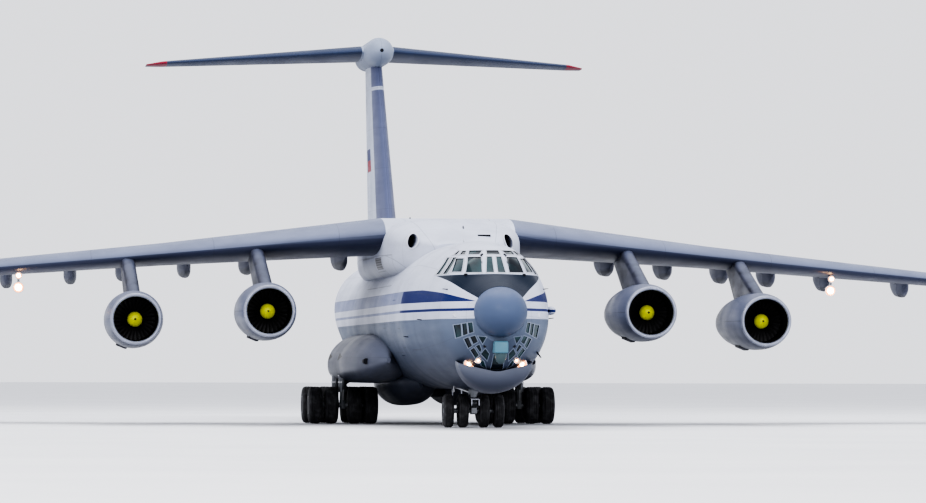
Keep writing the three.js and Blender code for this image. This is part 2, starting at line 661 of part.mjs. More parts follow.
// Wing centre-section fairing on the fuselage
// Columns: station, top height, half width
const SADDLE_FRAMES = [
  [10.9, 6.04, 0.9],
  [12.0, 6.42, 1.72],
  [13.3, 6.8, 2.14],
  [14.9, 6.97, 2.3],
  [17.5, 6.99, 2.32],
  [22.5, 6.96, 2.32],
  [25.2, 6.72, 2.2],
  [27.2, 6.36, 1.8],
  [29.2, 6.05, 1.0],
];
const SADDLE_SIDES = 24;
const SADDLE_WAIST = 5.9;
const SADDLE_DEPTH = 1.15;
const SADDLE_SQUARE = 3.2; // exponent that squares the shoulders
function saddle(inset) {
  const rings = SADDLE_FRAMES.map(([station, top, halfWidth], k) => {
    const shift = k === 0 ? inset : k === SADDLE_FRAMES.length - 1 ? -inset : 0;
    return Array.from({ length: SADDLE_SIDES }, (_, i) => {
      const angle = (i / SADDLE_SIDES) * 2 * Math.PI;
      const [c, s] = [Math.cos(angle), Math.sin(angle)];
      const power = s > 0 ? 2 / SADDLE_SQUARE : 1;
      const rise = s > 0 ? Math.max(top - SADDLE_WAIST, 0.1) - inset : SADDLE_DEPTH;
      const out = (halfWidth - inset) * Math.sign(c) * Math.abs(c) ** power;
      return point(out, station + shift, SADDLE_WAIST + rise * Math.sign(s) * Math.abs(s) ** power);
    });
  });
  return solid(loft(rings));
}
// The wing's section carried across from side to side
const centreSection = () => solid(loft([-1, 1].map((side) => wingRing(side, WING_ROOT - TOUCH))));
// Round ram-air intakes in the front of the fairing
const RAM_INTAKE = { out: 1.52, height: 6.16, radius: 0.2, from: 11.5, to: 14.4, sides: 16 };
function wingFairing() {
  const { out, height, radius, from, to, sides } = RAM_INTAKE;
  let made = saddle(0).add(centreSection()).subtract(fuselageCutter);
  for (const side of [-1, 1]) {
    const [front, back] = [from, to].map((station) => point(side * out, station, height));
    made = made.subtract(bar(front, back, radius, radius, sides));
  }
  return made;
}

function wing(side) {
  let made = wholeWing(side).subtract(saddle(-TOUCH)).subtract(fuselageCutter);
  for (const row of FLAPS) {
    made = made.subtract(flapPrism(side, row, CLEAR, true));
    for (const out of TRACKS[row[0]]) made = made.add(trackNose(side, out, row[3]));
  }
  return made.subtract(aileronRegion(side, CLEAR * 1.3));
}

// Engines: columns are name, metres out, station and height of the intake's middle
const ENGINES = [
  ["inner", 6.36, 11.66, 3.803],
  ["outer", 10.645, 13.95, 3.55],
];
// Nacelle profile: the intake, the outside from the lip aft, the nozzle and its cone, as [radius, distance aft]
const INTAKE_PROFILE = [
  [0, 1.95],
  [0.735, 1.95],
  [0.745, 0.14],
];
const COWL_PROFILE = [
  [0.805, 0],
  [0.865, 0.1],
  [0.92, 0.5],
  [0.965, 1.3],
  [0.97, 2.2],
  [0.92, 3.7],
  [0.81, 5.3],
  [0.66, 6.5],
];
const NOZZLE_PROFILE = [
  [0.61, 6.5],
  [0.66, 5.4],
  [0.36, 5.2],
  [0, 6.35],
];
const NACELLE_SIDES = 20;
function nacelle([, out, station, height], side) {
  const profile = [...INTAKE_PROFILE, ...COWL_PROFILE, ...NOZZLE_PROFILE];
  return revolve(profile, [side * out, station, height], NACELLE_SIDES);
}
// The cowl filled and a little larger
function filledCowl([, out, station, height], side, grow) {
  const outside = COWL_PROFILE.map(([radius, aft]) => [radius + grow, aft]);
  const [first, last] = [outside[0][1], outside[outside.length - 1][1]];
  return revolve([[0, first], ...outside, [0, last]], [side * out, station, height], NACELLE_SIDES);
}

// Fan: spinner, hub and blades
const FAN = { behind: 1.05, hub: 0.255, spinner: 0.42, depth: 0.4, tip: 0.7, sides: 16 };
const BLADE = { count: 12, chord: 0.3, thick: 0.03, twist: 0.85, aft: 0.18, sunk: 0.06 };
const SPINNER_STEPS = 4;
const SPINNER_BLUNTNESS = 1.2;
function fan() {
  const spinner = Array.from({ length: SPINNER_STEPS + 1 }, (_, i) => {
    const t = i / SPINNER_STEPS;
    return [FAN.hub * Math.sin((t * Math.PI) / 2), -FAN.spinner * (1 - t) ** SPINNER_BLUNTNESS];
  });
  let made = solid(turned([...spinner, [FAN.hub, FAN.depth], [0, FAN.depth]], FAN.sides));
  const root = FAN.hub - BLADE.sunk;
  const plate = new THREE.BoxGeometry(BLADE.thick * MODEL, BLADE.chord * MODEL, (FAN.tip - root) * MODEL);
  const middle = new THREE.Matrix4().makeTranslation(0, BLADE.aft * MODEL, ((FAN.tip + root) / 2) * MODEL);
  const twist = new THREE.Matrix4().makeRotationZ(BLADE.twist);
  for (let i = 0; i < BLADE.count; i++) {
    const turn = new THREE.Matrix4().makeRotationY((i / BLADE.count) * 2 * Math.PI);
    made = made.add(solid(plate, turn.multiply(middle).multiply(twist)));
  }
  return made;
}

// Pylons, swept forward from the wing to the cowl. The foot is stated from the middle of the intake;
// the head is in the wing, from its leading edge to a share of its chord
const PYLON = { half: 0.22, footUp: 0.8, footFront: 0.78, footBack: 6.4, headFront: 0.38, headBack: 0.54 };
// Shares of the pylon's length, and the half thickness there over its greatest
const PYLON_SHAPE = [
  [0, 0],
  [0.04, 0.6],
  [0.12, 1],
  [0.6, 1],
  [1, 0.12],
];
function pylon([, out, station, height], side) {
  const { lead, chord, height: wingHeight } = ribAt(out);
  const ends = [
    [height + PYLON.footUp, station + PYLON.footFront, station + PYLON.footBack],
    [wingHeight + 0.1, lead + PYLON.headFront, lead + chord * PYLON.headBack],
  ];
  const port = PYLON_SHAPE.map(([t, w]) => [t, w * PYLON.half]);
  const starboard = port.slice(1).reverse().map(([t, w]) => [t, -w]);
  const rings = ends.map(([up, front, back]) =>
    [...port, ...starboard].map(([t, w]) => point(side * out + w, lerp(front, back, t), up)),
  );
  return solid(loft(rings));
}
function cutPylon(engine, side) {
  return pylon(engine, side)
    .subtract(grownWing(side, TOUCH * 2))
    .subtract(aboveWing(side))
    .subtract(filledCowl(engine, side, TOUCH));
}

// Main gear fairings on the fuselage's lower sides
// Columns: station, half width, top height, height of the widest point, bottom height
const SPONSON_FRAMES = [
  [13.6, 0.06, 2.3, 2.2, 2.1],
  [14.8, 0.5, 2.75, 2.15, 1.8],
  [16.6, 0.9, 3.02, 2.1, 1.52],
  [19.0, 1.14, 3.12, 2.1, 1.42],
  [23.9, 1.13, 3.12, 2.1, 1.42],
  [25.0, 1.04, 3.1, 2.1, 1.45],
  [26.8, 0.82, 2.9, 2.15, 1.6],
  [28.9, 0.1, 2.35, 2.25, 2.15],
];
const SPONSON_OUT = 2.22;
const SPONSON_SIDES = 16;
const SPONSON_SQUARE = { over: 0.9, under: 0.7 }; // exponents that square its corners above and below
function sponsonForm(side, grow = 0) {
  const rings = SPONSON_FRAMES.map(([station, half, top, wide, bottom]) =>
    Array.from({ length: SPONSON_SIDES }, (_, i) => {
      const angle = (i / SPONSON_SIDES) * 2 * Math.PI;
      const [c, s] = [Math.cos(angle), Math.sin(angle)];
      const power = s > 0 ? SPONSON_SQUARE.over : SPONSON_SQUARE.under;
      const rise = (s > 0 ? top - wide : wide - bottom) + grow;
      const out = SPONSON_OUT + (half + grow) * Math.sign(c) * Math.abs(c) ** power;
      return point(side * out, station, wide + rise * Math.sign(s) * Math.abs(s) ** power);
    }),
  );
  return solid(loft(rings));
}
function sponson(side) {
  const slack = TOUCH * 3;
  let made = sponsonForm(side).subtract(fuselageCutter).subtract(rampPrism(CLEAR));
  for (const station of MAIN_STATIONS) {
    const at = (height) => point(side * MAIN_OUT, station, height);
    made = made.subtract(bar(at(1.2), at(LEG_TOP + slack), LEG_RADIUS + slack));
    for (const [foot, head] of braceEnds(side, station)) {
      const past = foot.clone().lerp(head, 1.03);
      made = made.subtract(bar(foot, past, BRACE_RADIUS + slack, BRACE_RADIUS + slack, BRACE_SIDES));
    }
  }
  return made;
}

// Twin blisters under the belly, over the stowed wheels' place
// Columns: station, half width, bottom height
const BLISTER_FRAMES = [
  [15.8, 0.08, 1.28],
  [17.0, 0.62, 0.98],
  [18.8, 0.85, 0.68],
  [22.8, 0.87, 0.63],
  [25.2, 0.69, 0.82],
  [27.2, 0.1, 1.28],
];
const BLISTER_OUT = 0.9;
const BLISTER_MIDDLE = 1.5; // height of the blisters' widest points, hidden in the belly
const BLISTER_SIDES = 14;
function bellyBlisters() {
  const halves = [-1, 1].map((side) => {
    const rings = BLISTER_FRAMES.map(([station, half, bottom]) =>
      Array.from({ length: BLISTER_SIDES }, (_, i) => {
        const angle = (i / BLISTER_SIDES) * 2 * Math.PI;
        const out = BLISTER_OUT + half * Math.cos(angle);
        return point(side * out, station, BLISTER_MIDDLE + (BLISTER_MIDDLE - bottom) * Math.sin(angle));
      }),
    );
    return solid(loft(rings));
  });
  const bridge = box([-0.5, 19.0, 0.95], [0.5, 23.5, BLISTER_MIDDLE]);
  let made = halves[0].add(halves[1]).add(bridge).subtract(fuselageCutter).subtract(rampPrism(CLEAR));
  for (const side of [-1, 1]) made = made.subtract(sponsonForm(side, TOUCH));
  return made;
}

// Landing gear
const MAIN_OUT = 3.1;
const MAIN_STATIONS = [20.9, 23.55];
const MAIN_TYRE = { radius: 0.65, width: 0.48, near: 0.41, far: 0.97, rim: 0.3 };
const NOSE_TYRE = { radius: 0.55, width: 0.33, near: 0.34, far: 0.82, rim: 0.26 };
const NOSE_STATION = 8.35;
const LEG_RADIUS = 0.15;
const LEG_TOP = 2.0;
const BRACE_RADIUS = 0.055;
const BRACE_SIDES = 6;
const AXLE_RADIUS = 0.08;
const AXLE_GAP = 0.012;
const WHEEL_SIDES = 16;

// Two braces of a main leg: one inboard, one forward
function braceEnds(side, station) {
  return [
    [point(side * MAIN_OUT, station, 1.36), point(side * (MAIN_OUT - 0.75), station, 1.75)],
    [point(side * MAIN_OUT, station, 1.02), point(side * MAIN_OUT, station - 0.62, 1.75)],
  ];
}

function mainLeg(side, station) {
  const at = (height) => point(side * MAIN_OUT, station, height);
  const axleHeight = MAIN_TYRE.radius;
  let made = bar(at(axleHeight), at(1.15), 0.1);
  made = made.add(bar(at(1.1), at(LEG_TOP), LEG_RADIUS));
  const reach = MAIN_TYRE.far - 0.05;
  const ends = [-reach, reach].map((out) => point(side * MAIN_OUT + out, station, axleHeight));
  made = made.add(bar(ends[0], ends[1], AXLE_RADIUS));
  made = made.add(bar(at(axleHeight - 0.13), at(axleHeight + 0.16), 0.115));
  for (const ends of braceEnds(side, station)) made = made.add(bar(...ends, BRACE_RADIUS, BRACE_RADIUS, BRACE_SIDES));
  return made;
}

// A pair of tyres on one hub, turning on a stub of the axle. The profile runs from the closed outer end
// to the bore; columns: radius, distance out from the leg
function wheelPair(tyre) {
  const { radius, width, near, far, rim } = tyre;
  const half = width / 2;
  const tread = radius / Math.cos(Math.PI / WHEEL_SIDES);
  const tyreProfile = (middle) => [
    [tread * 0.9, middle + half],
    [tread, middle + half * 0.6],
    [tread, middle - half * 0.6],
    [tread * 0.9, middle - half],
  ];
  const bore = AXLE_RADIUS + AXLE_GAP;
  const profile = [
    [0, far + half * 0.5],
    [rim, far + half * 0.5],
    ...tyreProfile(far),
    [rim, (far + near) / 2],
    ...tyreProfile(near),
    [bore, near - half * 0.5],
    [bore, far - 0.05 + AXLE_GAP],
    [0, far - 0.05 + AXLE_GAP],
  ].map(([r, out]) => new THREE.Vector2(r * MODEL, -out * MODEL));
  // Turned by half a facet, so that a flat one faces the ground
  return new THREE.LatheGeometry(profile, WHEEL_SIDES, Math.PI / WHEEL_SIDES);
}

function noseLeg() {
  const at = (height) => point(0, NOSE_STATION, height);
  const upper = bar(at(0.98), at(1.62), 0.16);
  const strut = bar(at(1.12), point(0, NOSE_STATION + 0.75, 1.5), 0.06, 0.06, 8);
  return upper.add(strut).subtract(fuselageCutter);
}
const TOW_LUG = { half: 0.09, reach: 0.3 };
function noseSteering() {
  const at = (height) => point(0, NOSE_STATION, height);
  const axleHeight = NOSE_TYRE.radius;
  const reach = NOSE_TYRE.far - 0.05;
  const ends = [-reach, reach].map((out) => point(out, NOSE_STATION, axleHeight));
  const piston = bar(at(axleHeight - 0.12), at(0.98 - CLEAR), 0.1);
  const towLug = box(
    [-TOW_LUG.half, NOSE_STATION - TOW_LUG.reach, axleHeight - TOW_LUG.half],
    [TOW_LUG.half, NOSE_STATION, axleHeight + TOW_LUG.half],
  );
  return piston.add(bar(ends[0], ends[1], AXLE_RADIUS)).add(bar(at(0.8), at(0.9), 0.14)).add(towLug);
}

// Tail
// Columns: height, leading-edge station, chord, half thickness
const FIN_FRAMES = [
  [5.2, 33.5, 9.4, 0.48],
  [13.85, 40.0, 5.05, 0.24],
];
// Thickness of the fin and tailplane: shares of the chord, and the half thickness there over its greatest
const FIN_STEPS = [0, 0.015, 0.06, 0.16, 0.35, 0.6, 0.8, 1];
const FIN_SHAPE = [0, 0.28, 0.55, 0.85, 1, 0.86, 0.48, 0.04];
function finShape(share) {
  const k = FIN_STEPS.findIndex((step) => step >= share);
  const t = (share - FIN_STEPS[k - 1]) / (FIN_STEPS[k] - FIN_STEPS[k - 1]);
  return lerp(FIN_SHAPE[k - 1], FIN_SHAPE[k], t);
}
function finAt(height) {
  const [a, b] = FIN_FRAMES;
  const t = (height - a[0]) / (b[0] - a[0]);
  const [lead, chord, half] = [1, 2, 3].map((c) => lerp(a[c], b[c], t));
  return { lead, chord, half };
}
function finRing([height, lead, chord, half]) {
  const port = FIN_STEPS.map((share, i) => point(half * FIN_SHAPE[i], lead + chord * share, height));
  const starboard = FIN_STEPS.map((share, i) => point(-half * FIN_SHAPE[i], lead + chord * share, height));
  return [...port, ...starboard.slice(1).reverse()];
}
const wholeFin = () => solid(loft(FIN_FRAMES.map(finRing)));
const RUDDER = { bottom: 6.35, top: 13.3, share: 0.69 };
const rudderLine = () =>
  [RUDDER.bottom, RUDDER.top].map((height) => {
    const { lead, chord, half } = finAt(height);
    return { at: point(0, lead + chord * RUDDER.share, height), radius: half * finShape(RUDDER.share) };
  });
const RUDDER_ROOM = 0.075; // gap under and over the rudder, whose hinge line leans
const RUDDER_REACH = { aft: 4.5, up: 0.6 };
const rudderRegion = (grow) => {
  const room = grow > 0 ? RUDDER_ROOM : 0;
  return roundedRegion(rudderLine(), RUDDER_REACH, grow, betweenHeights(RUDDER.bottom - room, RUDDER.top + room));
};

// Dorsal fillet ahead of the fin. Columns: station, top height, half width
const DORSAL_FRAMES = [
  [29.6, 6.06, 0.05],
  [31.5, 6.32, 0.2],
  [33.8, 7.0, 0.3],
  [35.9, 7.8, 0.26],
];
function dorsal() {
  const rings = DORSAL_FRAMES.map(([station, top, half]) =>
    [
      [-half * 1.5, 5.5],
      [half * 1.5, 5.5],
      [half, lerp(5.9, top, 0.6)],
      [half * 0.3, top],
      [-half * 0.3, top],
      [-half, lerp(5.9, top, 0.6)],
    ].map(([out, height]) => point(out, station, height)),
  );
  return solid(loft(rings));
}
function fin() {
  const made = wholeFin().subtract(rudderRegion(CLEAR));
  return made.add(dorsal()).subtract(fuselageCutter).subtract(saddle(-TOUCH)).subtract(bullet(TOUCH));
}
const rudder = () => wholeFin().intersect(rudderRegion(0));

// Bullet fairing at the top of the fin: [distance aft of its tip, radius]
const BULLET_PROFILE = [
  [0, 0],
  [0.12, 0.24],
  [0.5, 0.45],
  [1.2, 0.56],
  [3.4, 0.56],
  [5.6, 0.5],
  [6.9, 0.36],
  [7.6, 0.16],
  [7.75, 0],
];
const BULLET_TIP = 38.6;
const BULLET_HEIGHT = HEIGHT - 0.56;
const BULLET_SIDES = 20;
function bullet(grow = 0) {
  const profile = BULLET_PROFILE.map(([aft, radius]) => [radius ? radius + grow : 0, aft]);
  return revolve(profile, [0, BULLET_TIP, BULLET_HEIGHT], BULLET_SIDES);
}

// Tailplane. Columns: metres out, leading-edge station, chord, half thickness, height
const TAILPLANE_RIBS = [
  [0, 39.72, 5.25, 0.3, 14.26],
  [0.5, 40.0, 5.1, 0.29, 14.25],
  [8.1, 44.31, 2.1, 0.1, 13.99],
  [8.7, 45.19, 1.4, 0.04, 13.97],
];
const ELEVATOR = { inner: 0.8, outer: 8.0, share: 0.7 };
function tailplaneAt(out) {
  let k = 0;
  while (k < TAILPLANE_RIBS.length - 2 && out > TAILPLANE_RIBS[k + 1][0]) k++;
  const [a, b] = [TAILPLANE_RIBS[k], TAILPLANE_RIBS[k + 1]];
  const t = (out - a[0]) / (b[0] - a[0]);
  const [lead, chord, half, height] = [1, 2, 3, 4].map((c) => lerp(a[c], b[c], t));
  return { lead, chord, half, height };
}
function tailplaneRing(side, out) {
  const { lead, chord, half, height } = tailplaneAt(out);
  const top = FIN_STEPS.map((share, i) => point(side * out, lead + chord * share, height + half * FIN_SHAPE[i]));
  const under = FIN_STEPS.map((share, i) => point(side * out, lead + chord * share, height - half * FIN_SHAPE[i]));
  return [...top, ...under.slice(1).reverse()];
}
const halfTailplane = (side) => solid(loft(TAILPLANE_RIBS.map(([out]) => tailplaneRing(side, out))));
const elevatorLine = (side) =>
  [ELEVATOR.inner, ELEVATOR.outer].map((out) => {
    const { lead, chord, half, height } = tailplaneAt(out);
    return { at: point(side * out, lead + chord * ELEVATOR.share, height), radius: half * finShape(ELEVATOR.share) };
  });
const ELEVATOR_REACH = { aft: 2.6, up: 0.5 };
const elevatorRegion = (side, grow) => {
  const room = grow > 0 ? END_ROOM : 0;
  const ends = betweenOuts(side, ELEVATOR.inner - room, ELEVATOR.outer + room);
  return roundedRegion(elevatorLine(side), ELEVATOR_REACH, grow, ends);
};
function tailplane() {
  let made = bullet();
  for (const side of [-1, 1]) made = made.add(halfTailplane(side).subtract(elevatorRegion(side, CLEAR)));
  return made;
}
const elevator = (side) => halfTailplane(side).intersect(elevatorRegion(side, 0));

// Assembly. A moving piece keeps its hinge line in userData as two model points
const plane = new THREE.Group();
const SIDES = [["left", 1], ["right", -1]];

function piece(name, made, material, hinge) {
  const mesh = new THREE.Mesh(made.isBufferGeometry ? made : geometryOf(made), material);
  mesh.name = name;
  if (hinge) mesh.userData.hinge = hinge.map((p) => p.toArray());
  plane.add(mesh);
  return mesh;
}
const lineEnds = (line) => line.map(({ at }) => at);

piece("nose_section", noseSection(), WHITE_PAINT);
piece("nose_radome", noseRadome(), RADOME_GREY);
piece("chin_radome", chinRadome(), GREY_PAINT);
piece("flight_deck_glazing", glassSheet(UPPER_BAND), GLASS);
piece("navigator_glazing", glassSheet(LOWER_BAND), GLASS);
piece("flight_deck", flightDeck(), CABIN);
piece("hold_section", holdSection(), WHITE_PAINT);
piece("tail_section", tailSection(), WHITE_PAINT);
piece("cargo_ramp", cargoRamp(), GREY_PAINT, [
  point(-RAMP.halfWidth, RAMP.hinge, RAMP.hingeHeight),
  point(RAMP.halfWidth, RAMP.hinge, RAMP.hingeHeight),
]);
piece("cargo_middle_door", middleDoor(), GREY_PAINT, [
  point(-DOORS.middleHalf, DOORS.back, DOORS.middleHinge),
  point(DOORS.middleHalf, DOORS.back, DOORS.middleHinge),
]);
piece("wing_fairing", wingFairing(), WHITE_PAINT);
piece("belly_blisters", bellyBlisters(), GREY_PAINT);
piece("fin", fin(), WHITE_PAINT);
piece("rudder", rudder(), WHITE_PAINT, lineEnds(rudderLine()));
piece("tailplane", tailplane(), GREY_PAINT);
piece("nose_leg", noseLeg(), BARE_METAL);
piece("nose_steering", noseSteering(), BARE_METAL, [point(0, NOSE_STATION, 0.6), point(0, NOSE_STATION, 1.4)]);

for (const [sideName, side] of SIDES) {
  piece(`entry_door_${sideName}`, holdShell().intersect(entryPrism(side, 0)), WHITE_PAINT, [
    point(side * ENTRY_HINGE, ENTRY.front, ENTRY.sill),
    point(side * ENTRY_HINGE, ENTRY.front, ENTRY.head),
  ]);
  piece(`cargo_side_door_${sideName}`, sideDoor(side), GREY_PAINT, [
    point(side * PETAL_HINGE.front[0], ...PETAL_HINGE.front.slice(1)),
    point(side * PETAL_HINGE.back[0], ...PETAL_HINGE.back.slice(1)),
  ]);
  piece(`wing_${sideName}`, wing(side), GREY_PAINT);
  for (const row of FLAPS) piece(`flap_${row[0]}_${sideName}`, flap(side, row), GREY_PAINT, flapAxis(side, row));
  piece(`aileron_${sideName}`, aileron(side), GREY_PAINT, lineEnds(aileronLine(side)));
  piece(`elevator_${sideName}`, elevator(side), GREY_PAINT, lineEnds(elevatorLine(side)));
  piece(`sponson_${sideName}`, sponson(side), GREY_PAINT);
  for (const engine of ENGINES) {
    const name = `${engine[0]}_${sideName}`;
    piece(`nacelle_${name}`, nacelle(engine, side), BARE_METAL);
    piece(`pylon_${name}`, cutPylon(engine, side), GREY_PAINT);
    const rotor = piece(`fan_${name}`, fan(), SPINNER_YELLOW);
    rotor.position.copy(point(side * engine[1], engine[2] + FAN.behind, engine[3]));
  }
  MAIN_STATIONS.forEach((station, k) => {
    const place = `${["front", "rear"][k]}_${sideName}`;
    piece(`main_leg_${place}`, mainLeg(side, station), BARE_METAL);
    for (const [half, turn] of [["outboard", 1], ["inboard", -1]]) {
      const wheels = piece(`main_wheels_${place}_${half}`, wheelPair(MAIN_TYRE), RUBBER);
      wheels.position.copy(point(side * MAIN_OUT, station, MAIN_TYRE.radius));
      wheels.rotation.z = (side * turn * Math.PI) / 2;
    }
  });
  const noseWheels = piece(`nose_wheels_${sideName}`, wheelPair(NOSE_TYRE), RUBBER);
  noseWheels.position.copy(point(0, NOSE_STATION, NOSE_TYRE.radius));
  noseWheels.rotation.z = (side * Math.PI) / 2;
}

export default plane;
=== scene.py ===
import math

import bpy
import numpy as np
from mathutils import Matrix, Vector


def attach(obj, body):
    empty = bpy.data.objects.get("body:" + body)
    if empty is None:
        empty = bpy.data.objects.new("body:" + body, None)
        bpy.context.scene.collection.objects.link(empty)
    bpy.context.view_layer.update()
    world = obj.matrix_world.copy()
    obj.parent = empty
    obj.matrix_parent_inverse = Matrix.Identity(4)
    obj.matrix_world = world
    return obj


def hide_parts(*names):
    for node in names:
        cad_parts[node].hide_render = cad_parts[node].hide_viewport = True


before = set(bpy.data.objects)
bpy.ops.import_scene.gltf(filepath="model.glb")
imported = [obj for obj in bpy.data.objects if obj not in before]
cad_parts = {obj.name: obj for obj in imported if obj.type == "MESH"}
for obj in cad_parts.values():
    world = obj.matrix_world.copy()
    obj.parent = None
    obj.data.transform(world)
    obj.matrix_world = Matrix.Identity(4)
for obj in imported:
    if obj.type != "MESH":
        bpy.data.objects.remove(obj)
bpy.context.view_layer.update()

# Looks of the four-engined military transport plane, a 1:2 scale model.
# Sizes in this script are full-size metres. "Station" is the distance aft of the nose tip, "height" is
# above the ground, "out" is the distance from the plane of symmetry, and side 1 is port, -1 starboard.
# They become Blender metres, at 1:2, where a mesh is made.

LENGTH = 46.59
SPAN = 50.5
HEIGHT = 14.76
SCALE = 0.5
FUSELAGE_RADIUS = 2.4
FUSELAGE_AXIS = 3.63
FLOOR_HEIGHT = 2.2
WALL = 0.14
TOUCH = 0.0008
CLEAR = 0.018
SIDES = (("left", 1), ("right", -1))


# Meshes and solids

def to_scene(points):
    """Full-size [out, station, height] rows as Blender metres."""
    points = np.asarray(points, float).reshape(-1, 3)
    return (points - np.array([0, LENGTH / 2, 0])) * SCALE


def mesh_object(name, points, faces):
    """An object of points in full-size metres."""
    mesh = bpy.data.meshes.new(name)
    mesh.from_pydata(to_scene(points).tolist(), [], faces)
    mesh.update()
    obj = bpy.data.objects.new(name, mesh)
    bpy.context.scene.collection.objects.link(obj)
    return obj


def volume(points, faces):
    total = 0.0
    for face in faces:
        corners = points[list(face)]
        crossed = np.cross(corners[1:-1], corners[2:])
        total += float((crossed @ corners[0]).sum())
    return total


def closed_form(points, faces):
    """An object whose faces all turn outwards."""
    if volume(points, faces) < 0:
        faces = [tuple(reversed(face)) for face in faces]
    return mesh_object("form", points, faces)


def loft(rings):
    """Closed skin over rings of points with equal counts. A ring of one point is a tip."""
    rings = [np.asarray(ring, float).reshape(-1, 3) for ring in rings]
    points = np.concatenate(rings)
    starts = np.cumsum([0] + [len(ring) for ring in rings])
    faces = []
    for k in range(len(rings) - 1):
        na, nb = len(rings[k]), len(rings[k + 1])
        a, b = int(starts[k]), int(starts[k + 1])
        count = max(na, nb)
        for i in range(count):
            j = (i + 1) % count
            if na > 1 and nb > 1:
                faces.append((a + i, a + j, b + j, b + i))
            elif na > 1:
                faces.append((a + i, a + j, b))
            else:
                faces.append((a, b + j, b + i))
    if len(rings[0]) > 2:
        faces.append(tuple(range(len(rings[0]) - 1, -1, -1)))
    if len(rings[-1]) > 2:
        faces.append(tuple(range(int(starts[-2]), int(starts[-1]))))
    return closed_form(points, faces)


def at_station(station, ring):
    """A ring of [out, height] set at a station."""
    return [[out, station, height] for out, height in ring]


def at_out(out, ring):
    """A ring of [station, height] set at a distance out."""
    return [[out, station, height] for station, height in ring]


def box(low, high):
    (x0, y0, z0), (x1, y1, z1) = low, high
    ring = [(x0, z0), (x1, z0), (x1, z1), (x0, z1)]
    return loft([[(x, y, z) for x, z in ring] for y in (y0, y1)])


def frame_across(start, end):
    """Unit vectors along a line and two across it."""
    along = np.asarray(end, float) - np.asarray(start, float)
    along /= np.linalg.norm(along)
    helper = np.array([0.0, 0.0, 1.0]) if abs(along[2]) < 0.9 else np.array([0.0, 1.0, 0.0])
    across = np.cross(helper, along)
    across /= np.linalg.norm(across)
    return along, across, np.cross(along, across)


def full_turn(count):
    """Angles all the way round, the last one short of the first."""
    return np.linspace(0, 2 * math.pi, count, endpoint=False)


def aft_of(point):
    """A point and the one a metre aft of it, the two ends of a line."""
    return point, np.add(point, [0, 1, 0])


def turned(profile, start, end, sides):
    """A profile of [radius, distance along] turned about the line from start towards end."""
    along, across, up = frame_across(start, end)
    outward = [math.cos(a) * across + math.sin(a) * up for a in full_turn(sides)]
    rings = []
    for radius, distance in profile:
        middle = np.asarray(start, float) + along * distance
        rings.append([middle + radius * way for way in outward] if radius > 0 else [middle])
    return loft(rings)


def turned_ring(profile, start, end, sides):
    """A closed profile of [radius, distance along], clear of the line, turned about it."""
    along, across, up = frame_across(start, end)
    points = []
    for a in full_turn(sides):
        outward = math.cos(a) * across + math.sin(a) * up
        points += [np.asarray(start, float) + along * far + radius * outward for radius, far in profile]
    n = len(profile)
    faces = []
    for k in range(sides):
        for i in range(n):
            j, m = (i + 1) % n, (k + 1) % sides
            faces.append((k * n + i, k * n + j, m * n + j, m * n + i))
    return closed_form(np.array(points), faces)


def bar(start, end, radius, radius_end=None, sides=24):
    length = float(np.linalg.norm(np.asarray(end, float) - np.asarray(start, float)))
    far = radius if radius_end is None else radius_end
    return turned([(radius, 0), (far, length)], start, end, sides)


def bars(rows, side, origin):
    """Bars from rows of foot, head, radius and sides, counted from an origin and mirrored to a side."""
    made = []
    for foot, head, radius, sides in rows:
        ends = [np.add(origin, [side * out, station, height]) for out, station, height in (foot, head)]
        made.append(bar(*ends, radius, sides=sides))
    return made


def prism(plane, outline, near, far):
    """A closed outline pushed along the third axis."""
    place = {
        "side": lambda a, b, c: (c, a, b),
        "front": lambda a, b, c: (a, c, b),
        "plan": lambda a, b, c: (a, b, c),
    }[plane]
    return loft([[place(a, b, c) for a, b in outline] for c in (near, far)])


def applied(obj):
    """Turns an object's modifiers into its own mesh."""
    bpy.context.view_layer.update()
    graph = bpy.context.evaluated_depsgraph_get()
    made = bpy.data.meshes.new_from_object(obj.evaluated_get(graph))
    obj.modifiers.clear()
    obj.data = made
    return obj


def shaped(base, operation, tools):
    """Works every tool into a solid and removes the tools."""
    for tool in tools:
        step = base.modifiers.new("step", "BOOLEAN")
        step.operation = operation
        step.object = tool
        step.solver = "MANIFOLD"
    applied(base)
    for tool in tools:
        bpy.data.objects.remove(tool, do_unlink=True)
    return base


def minus(base, *tools):
    return shaped(base, "DIFFERENCE", tools)


def plus(base, *tools):
    return shaped(base, "UNION", tools)


def within(base, *tools):
    return shaped(base, "INTERSECT", tools)


def rounded(obj, width, segments=3):
    """Bevels the hard edges; the width is full-size metres."""
    bevel = obj.modifiers.new("bevel", "BEVEL")
    bevel.width = width * SCALE
    bevel.segments = segments
    bevel.limit_method = "ANGLE"
    return applied(obj)


def joined(*objects):
    """One object of several that don't need to be one solid."""
    base, picked = objects[0], list(objects)
    if len(objects) > 1:
        with bpy.context.temp_override(
            active_object=base, object=base, selected_editable_objects=picked, selected_objects=picked
        ):
            bpy.ops.object.join()
    return base


SHARP_ANGLE = math.radians(32)


def dress(obj, name, material, body="airframe", replaced=()):
    """Names a finished piece, smooths it, gives it its finish and lets it ride."""
    obj.name = name
    obj.data.name = name
    obj.data.materials.clear()
    obj.data.materials.append(material)
    obj.data.shade_smooth()
    obj.data.set_sharp_from_angle(angle=SHARP_ANGLE)
    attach(obj, body)
    if replaced:
        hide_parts(*replaced)


def cover(obj, node, material, body="airframe"):
    """Dresses the skin that takes the place of the node it is named after."""
    dress(obj, f"{node}_skin", material, body, [node])


def cover_moving(obj, node, material):
    """Dresses the skin of a node that rides on the body of the same name."""
    cover(obj, node, material, node)


def lerp(a, b, t):
    return a + (b - a) * t


def cosine_shares(steps):
    """Shares from 0 to 1 that stand closer together towards both ends."""
    return [0.5 * (1 - math.cos(math.pi * k / steps)) for k in range(steps + 1)]


